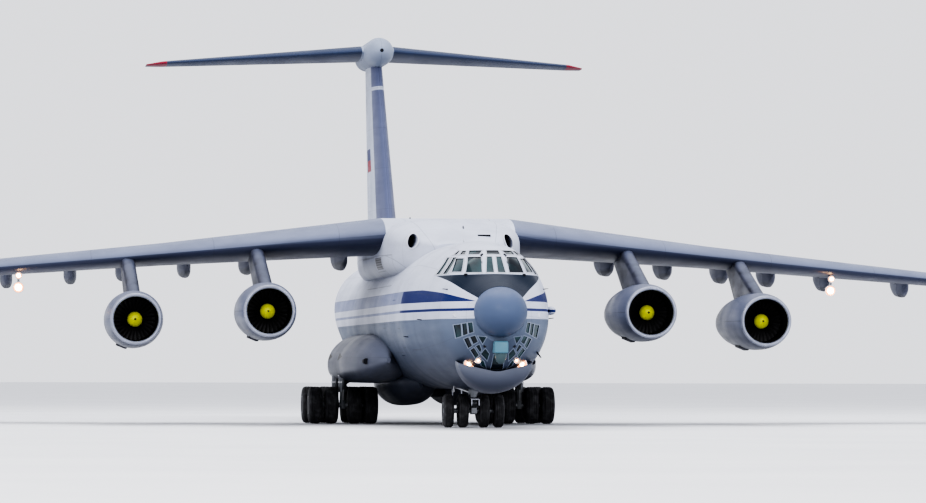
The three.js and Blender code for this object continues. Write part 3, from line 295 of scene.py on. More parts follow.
def signed_power(value, power):
    return math.copysign(abs(value) ** power, value)


def line_through(rows, at):
    """Rows of [position, values] read at a position along straight lines, which run on past the ends."""
    k = 0
    while k < len(rows) - 2 and at > rows[k + 1][0]:
        k += 1
    (start, *first), (end, *second) = rows[k], rows[k + 1]
    t = (at - start) / (end - start)
    return [lerp(a, b, t) for a, b in zip(first, second)]


def curve_through(rows, at):
    """Rows of [position, values] read at a position along a smooth curve that never overshoots them."""
    rows = np.asarray(rows, float)
    x, y = rows[:, 0], rows[:, 1:]
    width = np.diff(x)
    slope = np.diff(y, axis=0) / width[:, None]
    bend = np.zeros_like(y)
    for k in range(1, len(x) - 1):
        same = slope[k - 1] * slope[k] > 0
        w1, w2 = 2 * width[k] + width[k - 1], width[k] + 2 * width[k - 1]
        with np.errstate(divide="ignore", invalid="ignore"):
            mean = (w1 + w2) / (w1 / slope[k - 1] + w2 / slope[k])
        bend[k] = np.where(same, mean, 0.0)
    bend[0], bend[-1] = slope[0], slope[-1]
    k = int(np.clip(np.searchsorted(x, at, side="right") - 1, 0, len(x) - 2))
    t = (min(max(at, x[0]), x[-1]) - x[k]) / width[k]
    keep, rise, fall = 2 * t**3 - 3 * t**2 + 1, t**3 - 2 * t**2 + t, t**3 - t**2
    near = keep * y[k] + rise * width[k] * bend[k]
    return near + (1 - keep) * y[k + 1] + fall * width[k] * bend[k + 1]


# Finishes

SOFT_EDGE = 0.004
FIRST_COLOR, SECOND_COLOR, MIXED_COLOR = 6, 7, 2


class Finish:
    """A node material in the making: a Principled shader and the nodes that feed it."""

    def __init__(self, name, color=(0.5, 0.5, 0.5), roughness=0.5, metallic=0.0):
        self.material = bpy.data.materials.new(name)
        self.material.use_nodes = True
        self.tree = self.material.node_tree
        self.shader = self.tree.nodes["Principled BSDF"]
        self.set("Base Color", (*color, 1))
        self.set("Roughness", roughness)
        self.set("Metallic", metallic)

    def feed(self, socket, value):
        """Links an input to a node's output, or sets the input's own value."""
        if isinstance(value, bpy.types.NodeSocket):
            self.tree.links.new(value, socket)
        else:
            socket.default_value = value

    def set(self, socket, value):
        self.feed(self.shader.inputs[socket], value)

    def node(self, kind, settings=(), **inputs):
        made = self.tree.nodes.new(kind)
        for key, value in dict(settings).items():
            setattr(made, key, value)
        for key, value in inputs.items():
            self.feed(made.inputs[key.replace("_", " ")], value)
        return made

    def worked(self, kind, operation, values, clamp=None):
        """The result of a maths node on the values."""
        made = self.node(kind, {"operation": operation})
        if clamp is not None:
            made.use_clamp = clamp
        for socket, value in zip(made.inputs, values):
            self.feed(socket, value)
        return made.outputs[0]

    def math(self, operation, *values, clamp=False):
        return self.worked("ShaderNodeMath", operation, values, clamp)

    def times(self, first, second):
        return self.math("MULTIPLY", first, second)

    def less(self, first, second):
        return self.math("SUBTRACT", first, second)

    def most(self, first, second):
        return self.math("MAXIMUM", first, second)

    def sloped(self, value, slope, base):
        return self.math("MULTIPLY_ADD", value, slope, base)

    def blend(self, share, first, second):
        """First colour where share is 0, second where it is 1."""
        made = self.node("ShaderNodeMix", {"data_type": "RGBA"})
        for index, value in ((0, share), (FIRST_COLOR, first), (SECOND_COLOR, second)):
            self.feed(made.inputs[index], (*value, 1) if isinstance(value, tuple) else value)
        return made.outputs[MIXED_COLOR]

    def above(self, value, edge, soft=SOFT_EDGE):
        """1 where a value is above an edge, 0 below, with a narrow ramp."""
        return self.math("MULTIPLY_ADD", self.less(value, edge), 1 / soft, 0.5, clamp=True)

    def below(self, value, edge, soft=SOFT_EDGE):
        return self.less(1.0, self.above(value, edge, soft))

    def between(self, value, low, high):
        return self.math("SUBTRACT", self.above(value, low), self.above(value, high), clamp=True)

    def patch(self, across, wide, up, tall):
        """1 where two values are each within their range."""
        return self.times(self.between(across, *wide), self.between(up, *tall))

    def vector(self):
        """The point in full-size metres, with its station counted from the nose."""
        at = self.node("ShaderNodeTexCoord").outputs["Object"]
        return self.worked("ShaderNodeVectorMath", "MULTIPLY_ADD", (at, (1 / SCALE,) * 3, (0, LENGTH / 2, 0)))

    def place(self):
        """The point's distance out, station and height, and all three as a vector."""
        vector = self.vector()
        out, station, height = self.node("ShaderNodeSeparateXYZ", Vector=vector).outputs
        return self.math("ABSOLUTE", out), station, height, vector

    def facing(self):
        """Sideways, aft and upward parts of the surface's direction."""
        normal = self.node("ShaderNodeTexCoord").outputs["Normal"]
        return self.node("ShaderNodeSeparateXYZ", Vector=normal).outputs

    def noise(self, vector, scale, detail, stretch=(1, 1, 1)):
        scaled = self.worked("ShaderNodeVectorMath", "MULTIPLY", (vector, stretch))
        return self.node("ShaderNodeTexNoise", Vector=scaled, Scale=scale, Detail=detail).outputs[0]

    def spread(self, value, low, high, to_low=0.0, to_high=1.0):
        """A value's range from low to high, stretched to run between two others."""
        return self.node(
            "ShaderNodeMapRange", Value=value, From_Min=low, From_Max=high, To_Min=to_low, To_Max=to_high
        ).outputs[0]

    def seam(self, value, spacing, width, shift=0.0):
        """1 on thin lines that repeat along a value, 0 between them."""
        turns = self.sloped(value, 1 / spacing, shift / spacing + 0.5)
        off = self.math("ABSOLUTE", self.less(self.math("FRACT", turns), 0.5))
        return self.math("MULTIPLY_ADD", off, -2 * spacing / width, 1.0, clamp=True)

    def bump(self, height, strength, distance):
        made = self.node("ShaderNodeBump", Height=height, Strength=strength, Distance=distance)
        self.set("Normal", made.outputs[0])


WHITE = (0.5, 0.53, 0.63)
AFT_WHITE = (0.55, 0.57, 0.64)
GREY = (0.115, 0.145, 0.21)
# Painted shade: the darker grey low on the belly
BELLY_SHADE_GREY = (0.04, 0.05, 0.08)
BAND_BLUE = (0.006, 0.016, 0.11)
AFT_BAND_BLUE = (0.2, 0.23, 0.36)
SLATE = (0.01, 0.018, 0.036)
SLATE_BLUE = (0.1, 0.115, 0.2)
# Tailplane blue and bullet grey, both darkened as painted shade
TAIL_SHADED_BLUE = (0.035, 0.05, 0.1)
BULLET_SHADED_GREY = (0.26, 0.3, 0.39)
RADOME_BLUE = (0.1, 0.133, 0.225)
# Painted shade low on the radome
RADOME_SHADE = (0.05, 0.07, 0.12)
WING_GREY = (0.17, 0.195, 0.28)
TRACK_GREY = (0.06, 0.065, 0.085)
# Painted shade for surfaces that face downwards
UNDERSIDE_SHADE = (0.01, 0.014, 0.035)
# Painted shade under the wing: mid grey aft, darkest just behind the leading edge
UNDER_GREY = (0.135, 0.142, 0.19)
WING_SHADE = (0.04, 0.047, 0.085)
FIN_WHITE = (0.42, 0.46, 0.56)
COWL_GREY = (0.125, 0.14, 0.205)
# Painted highlight on the pylons' leading edges and painted shade on their sides
PYLON_LIT_EDGE = (0.14, 0.175, 0.28)
PYLON_SHADED_SIDE = (0.06, 0.065, 0.095)
SPONSON_TOP = (0.145, 0.16, 0.215)
# Painted shade low on the sponsons
SPONSON_SHADE = (0.015, 0.02, 0.034)
# Near-black painted shade for the sponsons' recessed inlets
INLET_SHADE = (0.004, 0.004, 0.006)
SLAT_GREY = (0.2, 0.2, 0.22)
SLAT_DARK = (0.02, 0.02, 0.03)
FLAG_RED = (0.25, 0.006, 0.028)
GRIME = (0.06, 0.06, 0.075)
SEAM_DARK = (0.03, 0.035, 0.05)
LAMP_FACET = (1.0, 0.9, 0.75)
RUBBER_BLACK = (0.014, 0.014, 0.017)
RUBBER_DUST = (0.13, 0.13, 0.14)
GLASS_BLACK = (0.006, 0.01, 0.016)
GLASS_TEAL = (0.016, 0.045, 0.055)


def dimmed(color, share):
    return tuple(c * share for c in color)


# Worn paint, which also gets painted shade below: a cloud and a streak pattern mixed, the range that shows as
# dirt, and the depth of its relief
CLOUD = {"scale": 0.7, "detail": 5.0, "share": 0.6}
STREAK = {"scale": 1.6, "detail": 6.0, "share": 0.4, "stretch": (1.0, 0.25, 2.4)}
DIRT_RANGE = (0.42, 0.72)
GLOSS_RANGE = (0.3, 0.7)
PAINT_SPECULAR = 0.12
SEAM_SHARE = 0.45
GRAIN = {"scale": 22.0, "detail": 3.0, "depth": 0.04}


# under is the share of painted shade on surfaces that face downwards
def worn_and_shaded(finish, color, vector, seams, roughness=0.42, grime=0.2, under=0.4):
    """Paint with soft colour variation, streaks of grime, painted shade on surfaces that face downwards,
    panel seams and uneven gloss.
    """
    # Painted shade: the more a surface faces downwards, the darker it gets
    shade_below = finish.spread(finish.facing()[2], -0.1, -0.95, 0.0, under)
    cloud = finish.noise(vector, CLOUD["scale"], CLOUD["detail"])
    streak = finish.noise(vector, STREAK["scale"], STREAK["detail"], STREAK["stretch"])
    mixed = finish.math("ADD", finish.times(cloud, CLOUD["share"]), finish.times(streak, STREAK["share"]))
    dirt = finish.spread(mixed, *DIRT_RANGE, 0.0, grime)
    shade = finish.blend(dirt, finish.blend(shade_below, color, UNDERSIDE_SHADE), GRIME)
    height = finish.times(finish.noise(vector, GRAIN["scale"], GRAIN["detail"]), GRAIN["depth"])
    if seams is not None:
        shade = finish.blend(finish.times(seams, SEAM_SHARE), shade, SEAM_DARK)
        height = finish.less(height, seams)
    finish.set("Base Color", shade)
    finish.set("Roughness", finish.spread(mixed, *GLOSS_RANGE, roughness - 0.07, roughness + 0.12))
    finish.set("Specular IOR Level", PAINT_SPECULAR)
    finish.bump(height, 0.35, 0.003)
    return finish.material


GREY_LINE = 3.46
THIN_LINE = (3.7, 3.785)
BAND_LOW = 4.0
BAND_HIGH = 4.4
BAND_RISE = (0.84, 4.03, 0.33)
BAND_AFT_START = 8.35
SILL_LINE = 4.868
SILL_DROOP = -0.02
GLARE_INNER = (0.67, 4.08)
GLARE_OUTER = (1.63, 4.83)
GLARE_BACK = 4.6
# Ranges of station and of height: hatches outlined on the skin, and a grille
SERVICE_PANELS = [
    [(13.4, 15.2), (4.7, 5.7)],
    [(15.3, 17.6), (4.7, 5.2)],
    [(17.8, 21.8), (4.7, 5.7)],
    [(8.6, 9.3), (2.6, 3.2)],
    [(13.2, 14.0), (2.7, 3.25)],
    [(6.2, 7.4), (1.9, 2.5)],
]
PANEL_RIM = 0.03
GRILLE = [(15.5, 17.4), (5.28, 5.68)]


def band_share(finish, out, station, height):
    """1 on the broad blue band, whose upper edge rises round the nose."""
    x0, z0, slope = BAND_RISE
    rising = finish.math("MINIMUM", finish.sloped(out, slope, z0 - slope * x0), BAND_HIGH)
    level = finish.times(finish.above(station, BAND_AFT_START), BAND_HIGH)
    return finish.times(finish.above(height, BAND_LOW), finish.below(height, finish.most(rising, level)))


def glare_share(finish, out, station, height):
    """1 on the dark panel under the windscreen."""
    (x0, z0), (x1, z1) = GLARE_INNER, GLARE_OUTER
    slope = (z1 - z0) / (x1 - x0)
    over = finish.above(height, finish.sloped(out, slope, z0 - x0 * slope))
    under = finish.below(height, finish.sloped(out, SILL_DROOP, SILL_LINE))
    return finish.times(finish.times(over, under), finish.below(station, GLARE_BACK))


def panel_joints(finish, out, station, height):
    """1 on the joints of the skin's panels and round its hatches."""
    turn = finish.math("ARCTAN2", finish.less(height, FUSELAGE_AXIS), out)
    seams = finish.most(finish.seam(station, 1.55, 0.022), finish.seam(turn, 0.42, 0.009, 0.1))
    for along, up in SERVICE_PANELS:
        grown = [(low - PANEL_RIM, high + PANEL_RIM) for low, high in (along, up)]
        rim = finish.patch(station, grown[0], height, grown[1])
        seams = finish.most(seams, finish.less(rim, finish.patch(station, along, height, up)))
    return seams


def fuselage_paint():
    """White above, grey below that darkens towards the belly as painted shade, with the level blue band and
    line and the dark panel under the windscreen.
    """
    finish = Finish("fuselage_paint")
    out, station, height, vector = finish.place()
    # Painted shade: the grey darkens towards the belly
    belly = finish.blend(finish.spread(height, 1.2, 3.2), BELLY_SHADE_GREY, GREY)
    white = finish.blend(finish.spread(station, 9.0, 13.0, 0.0, 0.5), WHITE, AFT_WHITE)
    # The band is a paler blue aft of the station where its upper edge levels out
    blue = finish.blend(finish.above(station, BAND_AFT_START, 0.04), BAND_BLUE, AFT_BAND_BLUE)
    slats = finish.blend(finish.seam(height, 0.08, 0.06), SLAT_GREY, SLAT_DARK)
    color = finish.blend(finish.above(height, GREY_LINE), belly, WHITE)
    for share, paint in (
        (finish.between(height, GREY_LINE, BAND_LOW), white),
        (finish.between(height, *THIN_LINE), blue),
        (band_share(finish, out, station, height), blue),
        (glare_share(finish, out, station, height), SLATE),
        (finish.patch(station, GRILLE[0], height, GRILLE[1]), slats),
    ):
        color = finish.blend(share, color, paint)
    # Strong painted shade on skin that faces downwards
    return worn_and_shaded(finish, color, vector, panel_joints(finish, out, station, height), under=0.6)


def wing_paint():
    """Painted shade by the way the surface faces: light above and round the leading edge, dark under it, mid
    grey further aft below.
    """
    finish = Finish("wing_paint")
    out, station, height, vector = finish.place()
    root, slope, droop = WING["reference"], WING["lead_slope"], WING["droop"]
    behind = finish.less(station, finish.sloped(out, slope, WING["lead_root"] - root * slope))
    # Painted shade: the more a surface faces downwards the darker it is, darkest just behind the leading edge
    under = finish.spread(finish.facing()[2], 0.55, -0.45)
    shaded = finish.blend(finish.spread(behind, 0.7, 3.0), WING_SHADE, UNDER_GREY)
    color = finish.blend(under, WING_GREY, shaded)
    middle = finish.sloped(out, -droop, WING["root_height"] + root * droop)
    below = finish.less(finish.sloped(behind, -0.02, middle), height)
    tracks = finish.times(finish.spread(below, 0.42, 0.55), finish.above(behind, 2.4))
    color = finish.blend(tracks, color, TRACK_GREY)
    seams = finish.most(finish.seam(behind, 0.92, 0.02), finish.seam(out, 4.1, 0.03, 0.4))
    return worn_and_shaded(finish, color, vector, seams, under=0.1)


FIN_EDGE_SHARE = 0.19
FIN_RING = (12.72, 12.86)
# The striped patch: its range behind the leading edge, and each stripe's range of height and colour
PATCH_SPAN = (2.3, 3.9)
PATCH_STRIPES = [((10.0, 10.45), BAND_BLUE), ((9.55, 10.0), FLAG_RED)]


def fin_paint():
    """Blue-grey round the leading edge, near white behind it, one pale ring high up and a striped patch."""
    finish = Finish("fin_paint")
    _, station, height, vector = finish.place()
    (low, lead0, chord0, _), (high, lead1, chord1, _) = FIN_FRAMES
    sweep, taper = (lead1 - lead0) / (high - low), (chord1 - chord0) / (high - low)
    behind = finish.less(station, finish.sloped(height, sweep, lead0 - low * sweep))
    share = finish.math("DIVIDE", behind, finish.sloped(height, taper, chord0 - low * taper))
    color = finish.blend(finish.below(share, FIN_EDGE_SHARE, 0.01), FIN_WHITE, SLATE_BLUE)
    color = finish.blend(finish.between(height, *FIN_RING), color, FIN_WHITE)
    for rows, paint in PATCH_STRIPES:
        color = finish.blend(finish.patch(height, rows, behind, PATCH_SPAN), color, paint)
    seams = finish.most(finish.seam(behind, 1.3, 0.02), finish.seam(height, 1.6, 0.02))
    return worn_and_shaded(finish, color, vector, seams)


# The tailplane's leading edge, the bullet's half width, and where the red tips begin and end
TAILPLANE_EDGE = {"slope": 0.567, "station": 39.72, "bullet": 0.62, "tip": 7.95, "tip_depth": 0.9}


def tailplane_paint():
    """The tailplane's blue darkened by painted shade, a paler bullet also greyed by painted shade, and red at
    the tips.
    """
    finish = Finish("tailplane_paint")
    edge = TAILPLANE_EDGE
    out, station, _, vector = finish.place()
    # Both colours here carry painted shade
    color = finish.blend(finish.above(out, edge["bullet"], 0.02), BULLET_SHADED_GREY, TAIL_SHADED_BLUE)
    behind = finish.less(station, finish.sloped(out, edge["slope"], edge["station"]))
    tips = finish.times(finish.above(out, edge["tip"], 0.02), finish.below(behind, edge["tip_depth"]))
    color = finish.blend(tips, color, FLAG_RED)
    seams = finish.most(finish.seam(out, 1.5, 0.02), finish.seam(station, 1.1, 0.018))
    return worn_and_shaded(finish, color, vector, seams)


BETWEEN_ENGINES = 8.5


def cowl_paint():
    """Cowl paint that greys towards the nozzle, with the joints of its panels and painted shade that darkens
    it below.
    """
    finish = Finish("cowl_paint")
    out, station, height, vector = finish.place()
    inner = finish.below(out, BETWEEN_ENGINES)
    front, middle = (finish.blend(inner, (ENGINES[1][k],) * 3, (ENGINES[0][k],) * 3) for k in (2, 3))
    behind, under = finish.less(station, front), finish.less(middle, height)
    color = finish.blend(finish.spread(behind, 1.2, 6.5), COWL_GREY, dimmed(COWL_GREY, 0.62))
    # Painted shade: a darker copy of the cowl grey low on the cowl
    color = finish.blend(finish.spread(under, 0.1, 0.95, 0.0, 0.75), color, dimmed(COWL_GREY, 0.42))
    seams = finish.most(finish.seam(behind, 1.45, 0.024), finish.between(under, -0.012, 0.012))
    return worn_and_shaded(finish, color, vector, seams, 0.34)


def pylon_paint():
    """A painted highlight round the leading edge, painted shade with stains on the sides."""
    finish = Finish("pylon_paint")
    vector = finish.vector()
    stain = finish.spread(finish.noise(vector, 2.2, 6.0, (1.0, 0.5, 1.4)), 0.45, 0.6)
    sides = finish.blend(stain, PYLON_SHADED_SIDE, dimmed(PYLON_SHADED_SIDE, 0.55))
    # Painted light: surfaces that face forwards get the lit edge colour, the rest the shaded side colour
    color = finish.blend(finish.spread(finish.facing()[1], -0.55, -0.2), PYLON_LIT_EDGE, sides)
    return worn_and_shaded(finish, color, vector, None, 0.38, 0.3)


def radome_paint():
    """Blue-grey with painted shade that darkens it downwards, smooth as moulded plastic."""
    finish = Finish("radome_paint")
    _, _, height, vector = finish.place()
    # Painted shade: darker towards the bottom
    color = finish.blend(finish.spread(height, 4.2, 3.0), RADOME_BLUE, RADOME_SHADE)
    return worn_and_shaded(finish, color, vector, None, 0.4, 0.14, 0.2)


# Air inlets painted on the sponsons, near-black as painted shade in a recess
INLETS = {"stations": (19.5, 23.3), "half": 0.7, "height": 2.33, "taper": 0.1, "out": 3.0}


def sponson_paint():
    """Grey gear fairings with painted shade that darkens them below, and long air inlets on their outer sides
    painted as near-black shade.
    """
    finish = Finish("sponson_paint")
    out, station, height, vector = finish.place()
    # Painted shade: the grey darkens towards the bottom
    color = finish.blend(finish.spread(height, 1.0, 2.6), SPONSON_SHADE, SPONSON_TOP)
    off = finish.math("ABSOLUTE", finish.less(height, INLETS["height"]))
    outer = finish.above(out, INLETS["out"])
    for at in INLETS["stations"]:
        front, back = at - INLETS["half"], at + INLETS["half"]
        wide = finish.times(finish.less(station, front), INLETS["taper"])
        tapered = finish.above(finish.less(wide, off), 0.0, 0.01)
        hole = finish.times(tapered, finish.between(station, front, back))
        # Painted shade: the inlets are near-black where the recess would lie in shade
        color = finish.blend(finish.times(hole, outer), color, INLET_SHADE)
    seams = finish.most(finish.seam(station, 1.9, 0.022), finish.seam(height, 0.62, 0.016, 0.2))
    return worn_and_shaded(finish, color, vector, seams, 0.36)


def lamp(name, color, strength):
    """A lit lens with mottled facets."""
    finish = Finish(name, color, 0.2)
    facets = finish.spread(finish.noise(finish.vector(), 30.0, 2.0), 0.3, 0.7)
    finish.set("Base Color", finish.blend(facets, color, LAMP_FACET))
    finish.set("Emission Color", (*color, 1))
    finish.set("Emission Strength", strength)
    return finish.material


# under is the share of painted shade on surfaces that face downwards
def plain_paint(name, color, roughness, grime=0.16, under=0.4):
    finish = Finish(name)
    return worn_and_shaded(finish, color, finish.vector(), None, roughness, grime, under)


def metal(name, color, roughness, metallic=0.9):
    """Bare metal with darker clouds and a fine grain."""
    finish = Finish(name, color, roughness, metallic)
    vector = finish.vector()
    cloud = finish.noise(vector, 3.0, 5.0)
    dark = finish.spread(cloud, 0.35, 0.7, 0.0, 0.45)
    finish.set("Base Color", finish.blend(dark, color, dimmed(color, 0.5)))
    finish.set("Roughness", finish.spread(cloud, 0.3, 0.7, roughness - 0.08, roughness + 0.14))
    finish.bump(finish.noise(vector, 60.0, 2.0), 0.08, 0.002)
    return finish.material


def rubber():
    """Black rubber with pale dust."""
    finish = Finish("tyre_rubber", RUBBER_BLACK, 0.8)
    vector = finish.vector()
    dust = finish.noise(vector, 5.0, 6.0)
    shade = finish.blend(finish.spread(dust, 0.45, 0.75, 0.0, 0.5), RUBBER_BLACK, RUBBER_DUST)
    finish.set("Base Color", shade)
    finish.set("Roughness", finish.spread(dust, 0.3, 0.7, 0.68, 0.9))
    finish.bump(finish.noise(vector, 90.0, 3.0), 0.2, 0.003)
    return finish.material


def glass():
    """Dark glass with a faint teal haze."""
    finish = Finish("dark_glass")
    haze = finish.noise(finish.vector(), 1.3, 3.0)
    finish.set("Base Color", finish.blend(finish.spread(haze, 0.42, 0.6), GLASS_BLACK, GLASS_TEAL))
    finish.set("Roughness", finish.spread(haze, 0.3, 0.7, 0.05, 0.14))
    finish.set("IOR", 1.35)
    finish.set("Specular IOR Level", 0.35)
    return finish.material


# Fuselage

# Columns: station, top height, belly height, half width, height of the widest point
FUSELAGE_FRAMES = [
    [1.15, 4.46, 2.72, 0.8, 3.62],
    [1.6, 4.62, 2.2, 1.05, 3.52],
    [2.2, 4.87, 1.84, 1.36, 3.44],
    [3.0, 5.52, 1.62, 1.69, 3.46],
    [4.2, 5.84, 1.43, 1.9, 3.55],
    [6.0, 5.99, 1.29, 2.15, 3.61],
    [8.4, 6.03, 1.23, 2.4, 3.63],
    [9.6, 6.03, 1.23, 2.4, 3.63],
    [26.8, 6.03, 1.23, 2.4, 3.63],
    [29.5, 6.03, 1.34, 2.4, 3.7],
    [32.2, 6.02, 1.93, 2.35, 4.0],
    [35.5, 5.96, 2.83, 2.03, 4.38],
    [38.6, 5.87, 3.62, 1.53, 4.7],
    [41.5, 5.7, 4.26, 0.96, 4.96],
    [42.9, 5.5, 4.66, 0.52, 5.07],
    [43.25, 5.28, 4.92, 0.2, 5.1],
]
# Columns: station, rim height at the side, rim height at the middle, belly height, half width
CHIN_FRAMES = [
    [1.98, 1.86, 1.82, 1.74, 0.25],
    [2.1, 1.98, 1.82, 1.5, 0.8],
    [2.35, 2.08, 1.83, 1.3, 1.16],
    [2.9, 2.14, 1.9, 1.15, 1.2],
    [3.8, 2.14, 1.9, 1.11, 1.08],
    [4.8, 2.0, 1.8, 1.15, 0.9],
    [5.8, 1.8, 1.7, 1.2, 0.62],
    [6.8, 1.5, 1.45, 1.3, 0.15],
]
NOSE_FRONT = 1.15
NOSE_END = 9.6
HOLD_END = 26.8
TAIL_END = 43.25
TAIL_JOINT = HOLD_END + TOUCH
HOOP_SIDES = 112


def hoop(values, station, inset=0.0):
    top, belly, half, wide = values
    angles = full_turn(HOOP_SIDES)
    rise = np.where(np.sin(angles) > 0, top - wide, wide - belly) - inset
    return np.stack(
        [(half - inset) * np.cos(angles), np.full(HOOP_SIDES, station), wide + rise * np.sin(angles)], axis=1
    )


def skin(stations, inset, ends=(0.0, 0.0)):
    """The fuselage's closed body over stations, drawn in by an inset, with its end stations moved by ends."""
    rings = []
    for k, station in enumerate(stations):
        shift = ends[0] if k == 0 else ends[1] if k == len(stations) - 1 else 0.0
        rings.append(hoop(curve_through(FUSELAGE_FRAMES, station), station + shift, inset))
    return loft(rings)


def stations_between(start, end, step):
    return np.linspace(start, end, max(2, int(math.ceil((end - start) / step)) + 1))


def end_to_end(*runs):
    """Runs of stations as one, each but the first without its first station."""
    return np.concatenate([runs[0]] + [run[1:] for run in runs[1:]])


NOSE_FINE_END = 3.4
TAIL_FINE_START = 42.0
NOSE_STATIONS = end_to_end(
    stations_between(NOSE_FRONT, NOSE_FINE_END, 0.09), stations_between(NOSE_FINE_END, NOSE_END, 0.24)
)
HOLD_STATIONS = stations_between(NOSE_END, HOLD_END, 1.2)
TAIL_STATIONS = end_to_end(
    stations_between(TAIL_JOINT, TAIL_FINE_START, 0.38), stations_between(TAIL_FINE_START, TAIL_END, 0.12)
)
WHOLE_STATIONS = end_to_end(NOSE_STATIONS, HOLD_STATIONS, TAIL_STATIONS)


def nose_body(inset=0.0, ends=(0.0, 0.0)):
    return skin(NOSE_STATIONS, inset, ends)


def hold_body(inset=0.0, ends=(0.0, 0.0)):
    return skin(HOLD_STATIONS, inset, ends)


def tail_body(inset=0.0, ends=(0.0, 0.0)):
    return skin(TAIL_STATIONS, inset, ends)


def fuselage_cutter():
    return skin(WHOLE_STATIONS, -TOUCH)


# Window panes as outlines of [out, height], seen from the front on the port side and mirrored to starboard
WINDSCREEN_PANES = [
    [[0.06, 4.915], [0.305, 4.915], [0.225, 5.425], [0.065, 5.425]],
    [[0.43, 4.915], [0.915, 4.915], [0.78, 5.415], [0.395, 5.415]],
    [[1.03, 4.935], [1.29, 4.94], [1.08, 5.38], [0.885, 5.375]],
    [[1.4, 4.885], [1.5, 4.885], [1.125, 5.42], [1.045, 5.42]],
    [[1.555, 4.88], [1.635, 4.88], [1.24, 5.43], [1.18, 5.43]],
    [[0.42, 5.5], [0.73, 5.5], [0.67, 5.63], [0.31, 5.63]],
    [[0.82, 5.5], [0.95, 5.505], [0.83, 5.635], [0.735, 5.63]],
    [[1.01, 5.51], [1.08, 5.51], [0.92, 5.64], [0.87, 5.64]],
]
EYEBROW_MIDDLE = [[-0.21, 5.5], [0.21, 5.5], [0.19, 5.63], [-0.19, 5.63]]
NAVIGATOR_PANES = [
    [[1.16, 3.29], [1.35, 3.26], [1.27, 2.86], [1.12, 2.91]],
    [[1.01, 3.32], [1.13, 3.3], [1.085, 2.93], [0.965, 2.98]],
    [[0.86, 3.34], [0.98, 3.33], [0.93, 3.0], [0.81, 3.04]],
    [[0.94, 2.88], [1.06, 2.83], [0.92, 2.54], [0.82, 2.61]],
    [[0.76, 2.93], [0.9, 2.89], [0.79, 2.66], [0.67, 2.74]],
    [[0.43, 2.88], [0.68, 2.91], [0.53, 2.67]],
    [[0.765, 2.56], [0.86, 2.48], [0.68, 2.22], [0.6, 2.32]],
    [[0.62, 2.66], [0.72, 2.6], [0.58, 2.41], [0.54, 2.48]],
    [[0.3, 2.36], [0.44, 2.53], [0.55, 2.36], [0.34, 2.15]],
    [[0.43, 2.13], [0.56, 2.23], [0.48, 2.0], [0.32, 1.9]],
]
MIDDLE_PANE = [[-0.17, 2.33], [0.17, 2.33], [0.19, 1.87], [-0.19, 1.87]]
GLASS_RECESS = 0.012
GLASS_THICKNESS = 0.03
FRAME_PROUD = 0.008
FRAME_WIDTH = 0.02
FRAME_LAP = 0.004
PANE_REACH = (1.0, 6.9)


def both_sides(outlines):
    return outlines + [[[-out, height] for out, height in reversed(outline)] for outline in outlines]


def windscreen_outlines():
    return both_sides(WINDSCREEN_PANES) + [EYEBROW_MIDDLE]


def navigator_outlines():
    return both_sides(NAVIGATOR_PANES) + [MIDDLE_PANE]


def pane_outlines():
    return windscreen_outlines() + navigator_outlines()


def grown_outline(outline, grow):
    """The outline with every edge moved outwards."""
    points = np.asarray(outline, float)
    edges = np.roll(points, -1, axis=0) - points
    next_out, next_up = np.roll(points, -1, axis=0).T
    turn = np.sign(np.sum(points[:, 0] * next_up - next_out * points[:, 1]))
    normals = turn * np.stack([edges[:, 1], -edges[:, 0]], axis=1)
    normals /= np.linalg.norm(normals, axis=1)[:, None]
    grown = []
    for k, corner in enumerate(points):
        before, after = normals[k - 1], normals[k]
        grown.append(list(corner + grow * (before + after) / (1 + before @ after)))
    return grown


def glass_panes(outlines):
    """One thin pane in each window hole, nearly flush with the skin."""
    back = GLASS_RECESS + GLASS_THICKNESS
    shell = minus(nose_body(GLASS_RECESS, (GLASS_RECESS, 0)), nose_body(back, (back, 1)))
    return within(shell, joined(*(prism("front", outline, *PANE_REACH) for outline in outlines)))


RADOME = {"half_width": 0.83, "half_height": 0.785, "height": 3.66, "length": 1.15}
RADOME_SEAT = 0.85


def nose_skin():
    tools = [nose_body(WALL, (WALL, 0.2))]
    height = RADOME["height"]
    tools.append(bar([0, -0.2, height], [0, RADOME["length"] + TOUCH, height], RADOME_SEAT, sides=96))
    tools += [prism("front", outline, *PANE_REACH) for outline in pane_outlines()]
    return minus(nose_body(), *tools)


def window_frames(outlines):
    """Thin raised gaskets round the panes."""
    shell = minus(nose_body(-FRAME_PROUD, (-FRAME_PROUD, 0)), nose_body(GLASS_RECESS, (GLASS_RECESS, 1)))
    outer = [prism("front", grown_outline(outline, FRAME_WIDTH), *PANE_REACH) for outline in outlines]
    inner = [prism("front", grown_outline(outline, -FRAME_LAP), 0.5, 7.5) for outline in outlines]
    return within(shell, minus(plus(*outer), *inner))


ENTRY = {"front": 10.3, "back": 11.2, "sill": 2.35, "head": 4.15}
ENTRY_HINGE = FUSELAGE_RADIUS + 0.01


def entry_prism(side, grow):
    """The entry door's block, whose rear edge is round about its hinge."""
    radius = ENTRY["back"] - ENTRY["front"] + grow
    sweep = []
    for angle in np.linspace(-0.1, 0.8, 13):
        out = ENTRY_HINGE - radius * math.sin(angle)
        sweep.append([side * out, ENTRY["front"] + radius * math.cos(angle)])
    outline = sweep + [[sweep[-1][0], ENTRY["front"] - grow], [sweep[0][0], ENTRY["front"] - grow]]
    return prism("plan", outline, ENTRY["sill"] - grow, ENTRY["head"] + grow)


def below_floor(start, end):
    """All that lies under the cargo floor between two stations."""
    return box([-FUSELAGE_RADIUS, start, 1.0], [FUSELAGE_RADIUS, end, FLOOR_HEIGHT])


